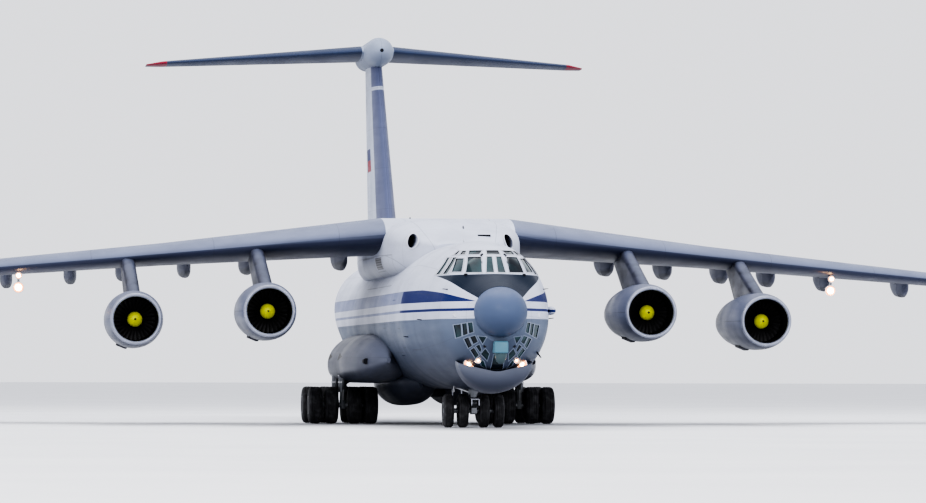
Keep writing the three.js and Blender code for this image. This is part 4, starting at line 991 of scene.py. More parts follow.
def hold_skin():
    floor = within(hold_body(WALL / 2, (WALL / 2, 0)), below_floor(NOSE_END + WALL / 2, HOLD_END))
    made = plus(minus(hold_body(), hold_body(WALL, (WALL, 0.2))), floor)
    return minus(made, *(entry_prism(side, CLEAR) for _, side in SIDES))


RAMP = {"hinge": 28.0, "hinge_height": 1.34, "floor": 2.19, "slope": 0.14, "reach": 4.2, "half_width": 1.72}
DOORS = {"front": 32.22, "back": 38.3, "side_back": 38.2, "middle_half": 0.62}
PETAL_HINGE = ([2.31, 32.22, 3.35], [1.56, 38.3, 4.28])
RAMP_STEPS = 24
BELOW = 0.8
RAMP_TURN = math.pi * 0.75


def ramp_prism(grow):
    """Side outline of the ramp pushed across: both ends are round about the hinge."""
    nose = RAMP["floor"] - RAMP["hinge_height"]
    tilt = math.atan(RAMP["slope"])

    def at(radius, angle):
        return [RAMP["hinge"] + radius * math.cos(angle), RAMP["hinge_height"] + radius * math.sin(angle)]

    outline = [at(nose + grow, math.pi / 2 + tilt + t * RAMP_TURN) for t in np.linspace(0, 1, RAMP_STEPS + 1)]
    reach = RAMP["reach"] + grow
    top_angle = tilt + math.asin((nose + grow) / reach)
    outline += [[RAMP["hinge"], BELOW], [RAMP["hinge"] + reach, BELOW]]
    outline += [at(reach, t * top_angle) for t in (0, 0.25, 0.5, 0.75, 1)]
    half = RAMP["half_width"] + grow
    return prism("side", outline, -half, half)


def petal_prism(side, grow):
    inner = DOORS["middle_half"] + (-grow if grow > 0 else CLEAR)
    back = DOORS["back"] + grow if grow > 0 else DOORS["side_back"]
    rings = []
    for station in (DOORS["front"] - grow, back):
        t = (station - PETAL_HINGE[0][1]) / (PETAL_HINGE[1][1] - PETAL_HINGE[0][1])
        out = lerp(PETAL_HINGE[0][0], PETAL_HINGE[1][0], t)
        height = lerp(PETAL_HINGE[0][2], PETAL_HINGE[1][2], t)
        ring = [[inner, height + grow], [out + 0.4, height + grow], [out + 0.4, BELOW], [inner, BELOW]]
        rings.append(at_station(station, [[side * x, z] for x, z in ring]))
    return loft(rings)


def middle_prism(grow):
    half = DOORS["middle_half"] + grow
    return box([-half, DOORS["front"] - grow, BELOW], [half, DOORS["back"] + grow, 4.3])


def tail_shell():
    return minus(tail_body(), tail_body(WALL, (-0.2, -WALL)))


def tail_skin():
    floor = within(tail_body(WALL / 2), below_floor(TAIL_JOINT, RAMP["hinge"]))
    half = RAMP["half_width"] + CLEAR
    behind = box([-half, DOORS["front"] - 0.35, BELOW], [half, DOORS["front"] + CLEAR, 3.0])
    made = plus(tail_shell(), floor)
    made = minus(made, ramp_prism(CLEAR), behind, middle_prism(CLEAR))
    return minus(made, *(petal_prism(side, CLEAR) for _, side in SIDES))


def nose_cap():
    steps = 28
    height = RADOME["height"]
    rings = [[[0, 0, height]]]
    for i in range(1, steps + 1):
        angle = i / steps * math.pi / 2
        across, up = RADOME["half_width"] * math.sin(angle), RADOME["half_height"] * math.sin(angle)
        station = RADOME["length"] * (1 - math.cos(angle))
        rings.append(hoop((height + up, height - up, across, height), station))
    return loft(rings)


def chin():
    """A bowl under the nose whose rim stands up at the sides."""
    angles = np.linspace(0, math.pi, 37)
    rings = []
    for station in stations_between(CHIN_FRAMES[0][0], CHIN_FRAMES[-1][0], 0.1):
        side, middle, belly, half = curve_through(CHIN_FRAMES, station)
        under = [[half * math.cos(a), side - (side - belly) * math.sin(a)] for a in angles]
        inner = [math.cos(a) for a in reversed(angles[1:-1])]
        over = [[half * t, middle + (side - middle) * t * t] for t in inner]
        rings.append(at_station(station, under + over))
    return minus(loft(rings), fuselage_cutter())


SENSOR = {"half": 0.215, "front": 0.82, "back": 1.75, "bottom": 2.38, "top": 2.76}
SENSOR_BALL = {"behind": 0.25, "bottom": 2.04, "bowl": 0.33, "top": 0.36, "smaller": 0.02, "steps": 12}
AERIAL_POD = {"out": 2.05, "height": 3.75, "front": 4.25, "back": 5.7, "radius": 0.135}


def sensor_box():
    half = SENSOR["half"]
    low, high = [-half, SENSOR["front"], SENSOR["bottom"]], [half, SENSOR["back"], SENSOR["top"]]
    return rounded(box(low, high), 0.05, 5)


def sensor_ball():
    ball = SENSOR_BALL
    radius = SENSOR["half"] - ball["smaller"]
    profile = [(0, 0)]
    for i in range(1, ball["steps"] + 1):
        angle = i / ball["steps"] * math.pi / 2
        profile.append((radius * math.sin(angle), ball["bowl"] * (1 - math.cos(angle))))
    profile.append((radius, ball["top"]))
    foot = [0, SENSOR["front"] + ball["behind"], ball["bottom"]]
    return turned(profile, foot, np.add(foot, [0, 0, 1]), 40)


def aerial_pod():
    pod = AERIAL_POD
    r, long = pod["radius"], pod["back"] - pod["front"]
    nose = [(0, 0), (r * 0.55, 0.05), (r * 0.9, 0.16), (r, 0.3)]
    tail = [(r, long - 0.2), (r * 0.6, long - 0.03), (0, long)]
    return turned(nose + tail, *aft_of([pod["out"], pod["front"], pod["height"]]), 32)


# Small fittings

def skin_rise(values, height):
    """The fuselage's half height towards a height, counted from its widest point."""
    top, belly, _, wide = values
    return top - wide if height > wide else wide - belly


def skin_front(out, height):
    """The foremost station where the nose's skin reaches a place seen from the front."""
    for station in np.arange(NOSE_FRONT, NOSE_END, 0.01):
        values = curve_through(FUSELAGE_FRAMES, station)
        if (out / values[2]) ** 2 + ((height - values[3]) / skin_rise(values, height)) ** 2 <= 1:
            return float(station)
    return NOSE_END


def skin_side(side, station, height):
    """The point of the fuselage's side at a station and height."""
    values = curve_through(FUSELAGE_FRAMES, station)
    up = (height - values[3]) / skin_rise(values, height)
    return np.array([side * values[2] * math.sqrt(max(0.0, 1 - up**2)), station, height])


def blade(foot, head, chord, thick):
    """A swept blade antenna with an oval section."""
    foot, head = np.asarray(foot, float), np.asarray(head, float)
    _, across, along = frame_across(foot, head)
    if abs(across[1]) > abs(along[1]):
        across, along = along, across
    rings = []
    for middle, share in ((foot, 1.0), (foot + (head - foot) * 0.9, 0.7), (head, 0.5)):
        oval = [along * chord / 2 * math.cos(a) + across * thick / 2 * math.sin(a) for a in full_turn(16)]
        rings.append([middle + share * point for point in oval])
    return loft(rings)


DISC_DEEP = 0.16


def disc_on_nose(out, height, radius, proud=0.02):
    station = skin_front(out, height)
    return bar([out, station - proud, height], [out, station + DISC_DEEP, height], radius, sides=28)


PORT_AT = (0.46, 2.6, 0.045)
# The box on the windscreen's sill: its middle, and its low and high corners from there
SILL_BOX = (0.92, 4.84)
SILL_BOX_LOW, SILL_BOX_HIGH = [-0.05, -0.05, -0.03], [0.05, 0.1, 0.04]
WIPER_FOOT = (0.37, 5.47)
WIPER_TIP = (0.4, 5.2)
WIPER_PROUD = 0.015
SIDE_PROBES = [(-1, 5.15, 3.45), (-1, 7.37, 2.92), (1, 5.0, 3.5), (-1, 2.88, 4.38)]
PORT_PROBE = (1, 3.74, 4.41)
PORT_BLADE = (1, 2.9, 2.43)
SLOT = ([0.54, 11.68, 6.29], [0.97, 11.8, 6.36])
SPONSON_INTAKE = {"out": 2.83, "height": 2.16, "radius": 0.1, "front": 15.08, "back": 15.6}
BULLET_PORT = {"ahead": 0.03, "deep": 0.1, "radius": 0.07}
# Columns: foot, head, chord, thickness
DARK_BLADES = [
    [[0.15, 12.5, 6.52], [0.15, 12.58, 6.66], 0.16, 0.05],
    [[-1.2, 16.6, 6.93], [-1.2, 16.68, 7.06], 0.18, 0.06],
]


def wiper(side):
    """A wiper blade and the knob at its foot."""
    foot, tip = (
        np.array([side * out, skin_front(out, height) - WIPER_PROUD, height])
        for out, height in (WIPER_FOOT, WIPER_TIP)
    )
    knob = bar(foot + [-0.03 * side, 0.03, 0.03], foot + [0.03 * side, -0.02, -0.02], 0.03, sides=12)
    return [bar(foot, tip, 0.016, 0.01, 10), knob]


def side_probe(side, station, height):
    """A probe that points ahead on a short arm."""
    foot = skin_side(side, station, height)
    head = foot + [side * 0.14, -0.05, 0.02]
    arm = bar(foot - [side * 0.05, 0, 0], head, 0.018, 0.012, 10)
    return [arm, bar(head + [0, 0.02, 0], head - [0, 0.14, 0], 0.014, 0.006, 10)]


def dark_fittings():
    """Ports, wipers, probes, blade antennas and small inlets."""
    made = []
    for _, side in SIDES:
        out, height, radius = PORT_AT
        made.append(disc_on_nose(side * out, height, radius))
        made += wiper(side)
        middle = [side * SILL_BOX[0], skin_front(*SILL_BOX), SILL_BOX[1]]
        made.append(rounded(box(np.add(middle, SILL_BOX_LOW), np.add(middle, SILL_BOX_HIGH)), 0.02))
        intake = SPONSON_INTAKE
        ends = ([side * intake["out"], intake[end], intake["height"]] for end in ("front", "back"))
        made.append(bar(*ends, intake["radius"]))
    for probe in SIDE_PROBES:
        made += side_probe(*probe)
    foot = skin_side(*PORT_PROBE)
    made.append(bar(foot - [0.05, 0, 0], foot + [0.16, -0.03, 0.03], 0.02, 0.008, 10))
    foot = skin_side(*PORT_BLADE)
    made.append(blade(foot - [0.03, 0, -0.04], foot + [0.14, 0.06, -0.18], 0.14, 0.03))
    made.append(rounded(box(*SLOT), 0.02))
    made += [blade(*row) for row in DARK_BLADES]
    port = BULLET_PORT
    ends = ([0, BULLET_TIP + shift, BULLET_HEIGHT] for shift in (-port["ahead"], port["deep"]))
    made.append(bar(*ends, port["radius"], sides=20))
    return joined(*made)


DISC_AT = (1.3, 3.58, 0.07)
BELLY_BLADE_STATIONS = (11.6, 14.2)
# Columns: station, height of the skin there
ROOF_BLADES = [(8.9, 6.03), (12.9, 6.6)]


def pale_fittings():
    """Cover discs on the white band and blade antennas on the belly and the roof."""
    made = [disc_on_nose(side * DISC_AT[0], *DISC_AT[1:], proud=0.035) for _, side in SIDES]
    for station in BELLY_BLADE_STATIONS:
        made.append(blade([0, station, 1.26], [0, station + 0.12, 0.98], 0.24, 0.04))
    for station, top in ROOF_BLADES:
        made.append(blade([-0.25, station, top - 0.03], [-0.25, station + 0.08, top + 0.08], 0.18, 0.04))
    return joined(*made)


# Columns: out, height, radius
NOSE_LAMPS = [(0.83, 2.05, 0.15), (0.6, 2.16, 0.07)]
LAMP_PROUD = 0.05


def nose_lamps(part):
    """The lamps in front of the lower nose: their lenses, rims or lit bulbs."""
    made = []
    for out, height, radius in NOSE_LAMPS:
        start = skin_front(out, height) - LAMP_PROUD
        inner, outer = radius + 0.002, radius + 0.028
        turn, sides = {"lens": (turned, 32), "rim": (turned_ring, 32), "bulb": (turned, 24)}[part]
        profile = {
            "lens": [(0, -0.025), (radius * 0.6, -0.015), (radius, 0.01), (radius, 0.2), (0, 0.2)],
            "rim": [(inner, -0.01), (radius + 0.022, -0.01), (outer, 0.02), (outer, 0.25), (inner, 0.25)],
            "bulb": [(0, -0.05), (radius * 0.4, -0.035), (radius * 0.5, 0.0), (0, 0.0)],
        }[part]
        made += [turn(profile, *aft_of([side * out, start, height]), sides) for _, side in SIDES]
    return joined(*made)


WING_LAMP_OUT = 14.35
# Columns: metres behind the wing's leading edge, height, radius
WING_LAMPS = [(0.35, 5.13, 0.1), (0.55, 4.72, 0.17)]
WING_LAMP_STEM_TOP = 5.3


def wing_lamps(side, part):
    """Two landing lights under one leading edge: their lenses, bulbs or housings."""
    lead = rib_at(WING_LAMP_OUT)[0]
    made = []
    for behind, height, radius in WING_LAMPS:
        back = radius + 0.02
        profile = {
            "lens": [(0, -0.02), (radius * 0.7, -0.01), (radius, 0.01), (radius, 0.05), (0, 0.05)],
            "bulb": [(0, -0.05), (radius * 0.6, -0.03), (radius * 0.7, -0.005), (0, -0.005)],
            "housing": [(0, 0.3), (radius * 0.6, 0.26), (back, 0.06), (back, 0.04), (0, 0.04)],
        }[part]
        made.append(turned(profile, *aft_of([side * WING_LAMP_OUT, lead + behind, height]), 32))
    if part == "housing":
        behind, height, _ = WING_LAMPS[1]
        foot = np.array([side * WING_LAMP_OUT, lead + behind + 0.15, height])
        made.append(bar(foot, [foot[0], foot[1] + 0.15, WING_LAMP_STEM_TOP], 0.04))
    return joined(*made)


# Distances aft of the lip and radius there; angle round the engine in degrees from its port side
SCOOP_ROWS = [[2.2, 0.93], [2.45, 1.0], [3.2, 1.0], [3.5, 0.9]]
SCOOP = {"angle": -112, "half": 0.2, "inner": 0.8, "narrowing": 0.9}


def cowl_scoop(engine, side):
    """A dark cooling scoop low on the cowl, on the same hand of every engine."""
    angle = math.radians(SCOOP["angle"])
    outward = np.array([math.cos(angle), 0, math.sin(angle)])
    tangent = np.array([-math.sin(angle), 0, math.cos(angle)]) * SCOOP["half"]
    inner, narrow = SCOOP["inner"], SCOOP["narrowing"]
    rings = []
    for behind, radius in SCOOP_ROWS:
        middle = intake(engine, side) + [0, behind, 0]
        corners = [(-1, inner), (1, inner), (narrow, radius), (-narrow, radius)]
        rings.append([middle + tangent * t + outward * r for t, r in corners])
    return rounded(loft(rings), 0.02, 2)


FIN_COLLAR_HEIGHT = 7.02


def fin_collar():
    """The pale dome round the fin's foot."""
    profile = [(0, 0.22), (0.14, 0.2), (0.26, 0.12), (0.32, 0.0), (0.3, -0.3), (0, -0.3)]
    foot = [0, fin_at(7.0)[0] - 0.15, FIN_COLLAR_HEIGHT]
    return turned(profile, foot, np.add(foot, [0, 0, 1]), 40)


# Outlines of [station from the nose leg, height]: the upper and the lower scissor link
NOSE_LINKS = [
    [[-0.09, 0.95], [-0.26, 0.8], [-0.22, 0.77], [-0.05, 0.88]],
    [[-0.26, 0.8], [-0.09, 0.62], [-0.05, 0.66], [-0.21, 0.82]],
]
NOSE_LINK_HALF = 0.07
# Columns: foot and head as [out, station from the leg, height], radius, sides
NOSE_LINK_PIN = [[[-0.1, -0.24, 0.8], [0.1, -0.24, 0.8], 0.025, 12]]
NOSE_CYLINDERS = [[[0.12, -0.02, 0.62], [0.12, -0.02, 0.93], 0.028, 14]]
TOW_BARS = [
    [[0.12, -0.66, 0.72], [0.12, -0.66, 0.92], 0.018, 12],
    [[0.12, -0.66, 0.92], [0.072, -0.05, 0.94], 0.018, 12],
]
TOW_CROSS = [[[-0.12, -0.66, 0.92], [0.12, -0.66, 0.92], 0.018, 12]]
NOSE_LEG_BARS = [
    [[0.12, 0.1, 1.16], [0.55, 0.75, 1.34], 0.04, 16],
    [[0.68, -0.5, 1.4], [0.68, -0.55, 1.16], 0.025, 12],
    [[0.68, -0.55, 1.16], [0.76, -0.55, 1.2], 0.022, 12],
]
MAIN_LEG_BARS = [
    [[0, 0, 1.14], [0, 0, 1.19], 0.135, 32],
    [[0, 0, 1.42], [0, 0, 1.47], 0.165, 32],
    [[0, 0, 1.66], [0, 0, 1.71], 0.165, 32],
    [[0, 0.14, 0.78], [0, 0.19, 1.7], 0.035, 14],
    [[0, -0.14, 0.82], [0, -0.2, 1.25], 0.022, 12],
]


def nose_gear_links():
    """Scissor links and cylinders that turn with the nose wheels."""
    origin = (0, NOSE_STATION, 0)
    made = []
    for link in NOSE_LINKS:
        outline = [[NOSE_STATION + station, height] for station, height in link]
        made.append(prism("side", outline, -NOSE_LINK_HALF, NOSE_LINK_HALF))
    made += bars(NOSE_LINK_PIN, 1, origin)
    for _, side in SIDES:
        made += bars(NOSE_CYLINDERS, side, origin)
    return joined(*made)


def tow_frame():
    """The pale frame ahead of the nose leg, which turns with the wheels."""
    origin = (0, NOSE_STATION, 0)
    return joined(*bars(TOW_BARS, -1, origin), *bars(TOW_BARS, 1, origin), *bars(TOW_CROSS, 1, origin))


def gear_fittings():
    """Hooks and struts round the nose leg, and cylinders, hoses and collars on the main legs."""
    made = []
    for _, side in SIDES:
        made += bars(NOSE_LEG_BARS, side, (0, NOSE_STATION, 0))
        for station in MAIN_STATIONS:
            made += bars(MAIN_LEG_BARS, side, (side * MAIN_OUT, station, 0))
    return joined(*made)


# Wing

WING = {"lead_root": 14.9, "reference": 2.25, "lead_slope": 0.5317, "droop": 0.07, "root_height": 6.28}
WING_ROOT = 2.2
# Columns: metres out, chord, thickness over chord, nose-up incidence in degrees
WING_RIBS = [
    [WING_ROOT, 9.62, 0.13, 2.17],
    [9.5, 6.2, 0.125, 1.5],
    [24.7, 2.73, 0.11, 0],
    [25.25, 1.9, 0.07, 0],
]
TIP_START = 24.7
TIP_SWEEP = 0.8
CAMBER = 0.014
TWIST_AT = 0.4
RIB_SHARES = cosine_shares(26)


def half_thickness(t, thick):
    """A rib's half thickness over its chord, at a share of the chord, with a round nose."""
    return 5 * thick * (0.2969 * math.sqrt(t) - 0.126 * t - 0.3516 * t * t + 0.2843 * t**3 - 0.1015 * t**4)


def rib_at(out):
    """Leading edge, height, chord, thickness over chord and incidence at a distance out."""
    chord, thick, incidence = line_through(WING_RIBS, out)
    lead = WING["lead_root"] + (out - WING["reference"]) * WING["lead_slope"]
    if out > TIP_START:
        lead += (out - TIP_START) * TIP_SWEEP
    height = WING["root_height"] - (out - WING["reference"]) * WING["droop"]
    return lead, height, chord, thick, math.radians(incidence)


def wing_point(out, share, side):
    """Station and height of a rib's point: side 1 is the top, -1 below, 0 the camber line."""
    lead, height, chord, thick, tilt = rib_at(out)
    rise = CAMBER * 4 * share * (1 - share) + side * half_thickness(share, thick)
    along = chord * (share - TWIST_AT)
    up = chord * rise
    return (
        lead + chord * TWIST_AT + along * math.cos(tilt) + up * math.sin(tilt),
        height - along * math.sin(tilt) + up * math.cos(tilt),
    )


def wing_ring(side, out):
    top = [wing_point(out, share, 1) for share in reversed(RIB_SHARES)]
    under = [wing_point(out, share, -1) for share in RIB_SHARES[1:]]
    return np.array(at_out(side * out, top + under))


GROWN_WING_OUTS = [WING_ROOT, 5.7, 9.5, 17.1, 24.7, 25.25]
WING_OUTS = [WING_ROOT, 4, 6.5, 9.5, 12.5, 15.5, 18.5, 21.5, 24.7, 24.85, 25.0, 25.1, 25.18, 25.25]


def whole_wing(side):
    rings = []
    for out in WING_OUTS:
        ring = wing_ring(side, out)
        if out > TIP_START:
            t = (out - TIP_START) / (SPAN / 2 - TIP_START)
            thin = max(0.08, math.sqrt(1 - t * t))
            middle = (ring + ring[::-1]) / 2
            ring[:, 2] = middle[:, 2] + (ring[:, 2] - middle[:, 2]) * thin
        rings.append(ring)
    return loft(rings)


def grown_wing(side, grow):
    """The wing a little larger at its nose and underside."""
    rings = []
    for out in GROWN_WING_OUTS:
        lead, _, chord, _, _ = rib_at(out)
        low = wing_point(out, 0.02, 0)[1]
        ring = wing_ring(side, out)
        nose = ring[:, 1] < lead + chord * 0.03
        under = (ring[:, 2] < low) | ~nose
        ring[:, 1] -= np.where(nose, grow, 0)
        ring[:, 2] -= np.where(under, grow, 0)
        rings.append(ring)
    return loft(rings)


def above_wing(side):
    """All that lies above the wing's chord plane, and above that plane drawn on ahead of the wing."""
    rings = []
    for out in (2.0, 24.0):
        front, back = wing_point(out, 0, 0), wing_point(out, 1, 0)
        ahead = front[0] - 1.5
        ring = [[ahead, front[1]], front, back, [back[0], back[1] + 3], [ahead, front[1] + 3]]
        rings.append(at_out(side * out, ring))
    return loft(rings)


# Columns: name, inner and outer end, share of the chord at the front, room past each end
FLAPS = [
    ["inner", 2.8, 9.3, 0.72, 1.0, 0.15],
    ["outer", 9.55, 18.15, 0.72, 0.15, 0.03],
]
AILERON = {"inner": 18.3, "outer": 24.6, "share": 0.74}
FLAP_AHEAD = 0.35
TRACKS = {"inner": [3.12, 6.37, 8.52], "outer": [10.67, 12.47, 14.7, 17.75]}
# Columns: share of the part's length, half width, depth below the wing's underside
TRACK_NOSE_FRAMES = [[0, 0.03, 0.1], [0.35, 0.13, 0.38], [1, 0.21, 0.56]]
TRACK_TAIL_FRAMES = [[0, 0.21, 0.56], [0.3, 0.22, 0.56], [0.65, 0.17, 0.4], [1, 0.04, 0.1]]
TRACK_OVERHANG = 0.45
TRACK_NOSE_SHARE = 0.2
FLAP_LOW, FLAP_HIGH = 3.6, 7.6


def flap_prism(side, row, ahead, room):
    _, inner, outer, share, inner_room, outer_room = row
    ends = [inner - inner_room, outer + outer_room] if room else [inner, outer]
    fronts = [wing_point(out, share, 0)[0] for out in (inner, outer)]
    rings = []
    for out in ends:
        front = lerp(fronts[0], fronts[1], (out - inner) / (outer - inner)) - ahead
        lead, _, chord, _, _ = rib_at(out)
        back = lead + chord + 1
        ring = [[front, FLAP_HIGH], [back, FLAP_HIGH], [back, FLAP_LOW], [front, FLAP_LOW]]
        rings.append(at_out(side * out, ring))
    return loft(rings)


def track_fairing(rows, side, out, start, end):
    """A canoe-shaped form under the wing, half round below and flat where it meets the wing."""
    lead, _, chord, _, _ = rib_at(out)
    rings = []
    for t in np.linspace(0, 1, 17):
        half, deep = curve_through(rows, t)
        station = lerp(start, end, t)
        top = wing_point(out, min(0.97, (station - lead) / chord), -1)[1] + 0.05
        ring = [[half, top]]
        for angle in np.linspace(0, math.pi, 15):
            wide = half * signed_power(math.cos(angle), 0.7)
            ring.append([wide, top - deep * (0.45 + 0.55 * math.sin(angle))])
        ring.append([-half, top])
        rings.append(at_station(station, [[side * out + x, z] for x, z in ring]))
    return loft(rings)


def track_joint(out, share):
    return wing_point(out, share, -1)[0] - FLAP_AHEAD


def track_nose(side, out, share):
    joint = track_joint(out, share)
    chord = rib_at(out)[2]
    return track_fairing(TRACK_NOSE_FRAMES, side, out, joint - TRACK_NOSE_SHARE * chord, joint - CLEAR)


def track_tail(side, out, share):
    lead, _, chord, _, _ = rib_at(out)
    return track_fairing(TRACK_TAIL_FRAMES, side, out, track_joint(out, share), lead + chord + TRACK_OVERHANG)


def flap(side, row):
    made = within(whole_wing(side), flap_prism(side, row, 0, False))
    for out in TRACKS[row[0]]:
        fixed = minus(grown_wing(side, CLEAR * 2), flap_prism(side, row, 0, True))
        made = plus(made, minus(track_tail(side, out, row[3]), fixed))
    return made


NOSE_SIDES = 32
END_ROOM = 0.045
OVERRUN = 0.3


def rounded_region(line, reach_aft, reach_up, grow, ends):
    """Behind a line of two (point, radius) ends, with a round nose, kept between ends."""
    (p, rp), (q, rq) = line
    p, q = np.asarray(p, float), np.asarray(q, float)
    a, b = p + (q - p) * -OVERRUN, p + (q - p) * (1 + OVERRUN)
    ra, rb = lerp(rp, rq, -OVERRUN), lerp(rp, rq, 1 + OVERRUN)
    nose = bar(a, b, ra + grow, rb + grow, NOSE_SIDES)
    along = (b - a) / np.linalg.norm(b - a)
    aft = np.array([0, 1.0, 0]) - along * along[1]
    aft /= np.linalg.norm(aft)
    across = np.cross(along, aft)
    corners = [[-grow, reach_up], [reach_aft, reach_up], [reach_aft, -reach_up], [-grow, -reach_up]]
    block = loft([[at + aft * back + across * up for back, up in corners] for at in (a, b)])
    return within(plus(nose, block), ends)


def between_outs(side, inner, outer):
    low, high = sorted((side * inner, side * outer))
    return box([low, 10, 0], [high, LENGTH + 1, HEIGHT + 1])


def aileron_line(side):
    line = []
    for out in (AILERON["inner"], AILERON["outer"]):
        _, _, chord, thick, _ = rib_at(out)
        station, height = wing_point(out, AILERON["share"], 0)
        line.append(([side * out, station, height], chord * half_thickness(AILERON["share"], thick)))
    return line


def aileron_region(side, grow):
    room = END_ROOM if grow > 0 else 0
    ends = between_outs(side, AILERON["inner"] - room, AILERON["outer"] + room)
    return rounded_region(aileron_line(side), 1.8, 0.6, grow, ends)


# Wing centre-section fairing on the fuselage. Columns: station, top height, half width
SADDLE_FRAMES = [
    [10.9, 6.04, 0.9],
    [12.0, 6.42, 1.72],
    [13.3, 6.8, 2.14],
    [14.9, 6.97, 2.3],
    [17.5, 6.99, 2.32],
    [22.5, 6.96, 2.32],
    [25.2, 6.72, 2.2],
    [27.2, 6.36, 1.8],
    [29.2, 6.05, 1.0],
]
SADDLE_WAIST = 5.9
SADDLE_DEPTH = 1.15
SADDLE_SQUARE = 3.2
RAM_INTAKE = {
    "out": 1.6, "height": 6.15, "half_width": 0.14, "half_height": 0.24, "lean": 0.3,
    "start": 11.5, "end": 14.4,
}


def ram_oval(side, grow, start, end):
    """The leaning oval of a ram air intake pushed along the fuselage."""
    oval = RAM_INTAKE
    outline = []
    for angle in full_turn(40):
        across = (oval["half_width"] + grow) * math.cos(angle)
        up = (oval["half_height"] + grow) * math.sin(angle)
        out, height = oval["out"] + across - oval["lean"] * up, oval["height"] + up + oval["lean"] * across
        outline.append([side * out, height])
    return prism("front", outline, start, end)


def ram_rims():
    """Thin pale collars round the ram air intakes."""
    shell = minus(saddle(-0.03), saddle(0.03))
    outer = [ram_oval(side, 0.035, 11.0, 12.6) for _, side in SIDES]
    inner = [ram_oval(side, -0.002, 10.9, 12.7) for _, side in SIDES]
    return within(shell, minus(plus(*outer), *inner))


def saddle(inset):
    """The wing fairing's body, drawn in by an inset, with squarish sections."""
    power = 2 / SADDLE_SQUARE
    stations = stations_between(SADDLE_FRAMES[0][0], SADDLE_FRAMES[-1][0], 0.3)
    rings = []
    for k, station in enumerate(stations):
        top, half = curve_through(SADDLE_FRAMES, station)
        shift = inset if k == 0 else -inset if k == len(stations) - 1 else 0
        ring = []
        for angle in full_turn(96):
            c, s = math.cos(angle), math.sin(angle)
            rise = max(top - SADDLE_WAIST, 0.1) - inset if s > 0 else SADDLE_DEPTH
            out = (half - inset) * signed_power(c, power)
            ring.append([out, SADDLE_WAIST + rise * signed_power(s, power)])
        rings.append(at_station(station + shift, ring))
    return loft(rings)


def wing_fairing():
    cutters = [ram_oval(side, 0, RAM_INTAKE["start"], RAM_INTAKE["end"]) for _, side in SIDES]
    centre = loft([wing_ring(side, WING_ROOT - TOUCH) for side in (-1, 1)])
    return minus(plus(saddle(0), centre), fuselage_cutter(), *cutters)


def wing(side):
    made = minus(whole_wing(side), saddle(-TOUCH), fuselage_cutter())
    for row in FLAPS:
        made = minus(made, flap_prism(side, row, CLEAR, True))
        made = plus(made, *(track_nose(side, out, row[3]) for out in TRACKS[row[0]]))
    return minus(made, aileron_region(side, CLEAR * 1.3))


# Engines. Columns: name, metres out, station and height of the intake's middle
ENGINES = [["inner", 6.36, 11.66, 3.803], ["outer", 10.645, 13.95, 3.55]]
# Columns: distance aft of the lip, radius
COWL_OUTSIDE = [[0.1, 0.865], [0.5, 0.92], [1.3, 0.965], [2.2, 0.97], [3.7, 0.92], [5.3, 0.81], [6.5, 0.66]]
COWL_START = 0.1
COWL_END = 6.5
LIP = {"front": 0.805, "outer": 0.865, "inner": 0.742, "depth": 0.1}
DUCT = {"front": 0.739, "back": 0.735, "depth": 1.95}
NOZZLE = {"edge": 0.63, "inner": 0.655, "depth": 1.25}
CONE = [[0, 0.34], [0.3, 0.3], [0.75, 0.16], [1.1, 0]]
FAN = {"behind": 1.05, "hub": 0.255, "spinner": 0.42, "depth": 0.4, "tip": 0.7, "blades": 28}


def intake(engine, side):
    """The middle of an engine's intake."""
    _, out, station, height = engine
    return np.array([side * out, station, height])


def cowl_curve():
    """The cowl's outside from behind the lip to the nozzle, as (radius, distance aft)."""
    distances = np.linspace(COWL_START, COWL_END, 48)
    return [(float(curve_through(COWL_OUTSIDE, d)[0]), float(d)) for d in distances]


def cowl(engine, side):
    """The painted cowl, open at both ends, with a wall that the duct and the nozzle line."""
    liner, wall = NOZZLE["inner"] + 0.004, DUCT["back"] + 0.03
    inside = [(NOZZLE["edge"], COWL_END), (liner, 6.1), (liner, 5.3), (wall, 5.2), (wall, COWL_START)]
    return turned_ring(cowl_curve() + inside, *aft_of(intake(engine, side)), 96)


def lip(engine, side):
    """The rounded bright lip of the intake."""
    profile = []
    for angle in np.linspace(0, math.pi, 15):
        t = (1 - math.cos(angle)) / 2
        profile.append((lerp(LIP["outer"], LIP["inner"], t), LIP["depth"] * (1 - math.sin(angle) ** 0.9)))
    return turned_ring(profile, *aft_of(intake(engine, side)), 96)


def duct(engine, side):
    """The near-black lining of the intake, with a back wall behind the fan: painted shade standing for the
    dark inside of the engine.
    """
    front, back, depth = DUCT["front"], DUCT["back"], DUCT["depth"]
    inside = [(0, depth), (back, depth), (front, COWL_START)]
    outside = [(front + 0.012, COWL_START), (back + 0.02, depth + 0.05), (0, depth + 0.05)]
    return turned(inside + outside, *aft_of(intake(engine, side)), 96)


LOBES = {"count": 16, "foot": 0.34, "head": 0.5, "start": 0.02, "end": 0.42, "radius": 0.055, "tip": 0.03}


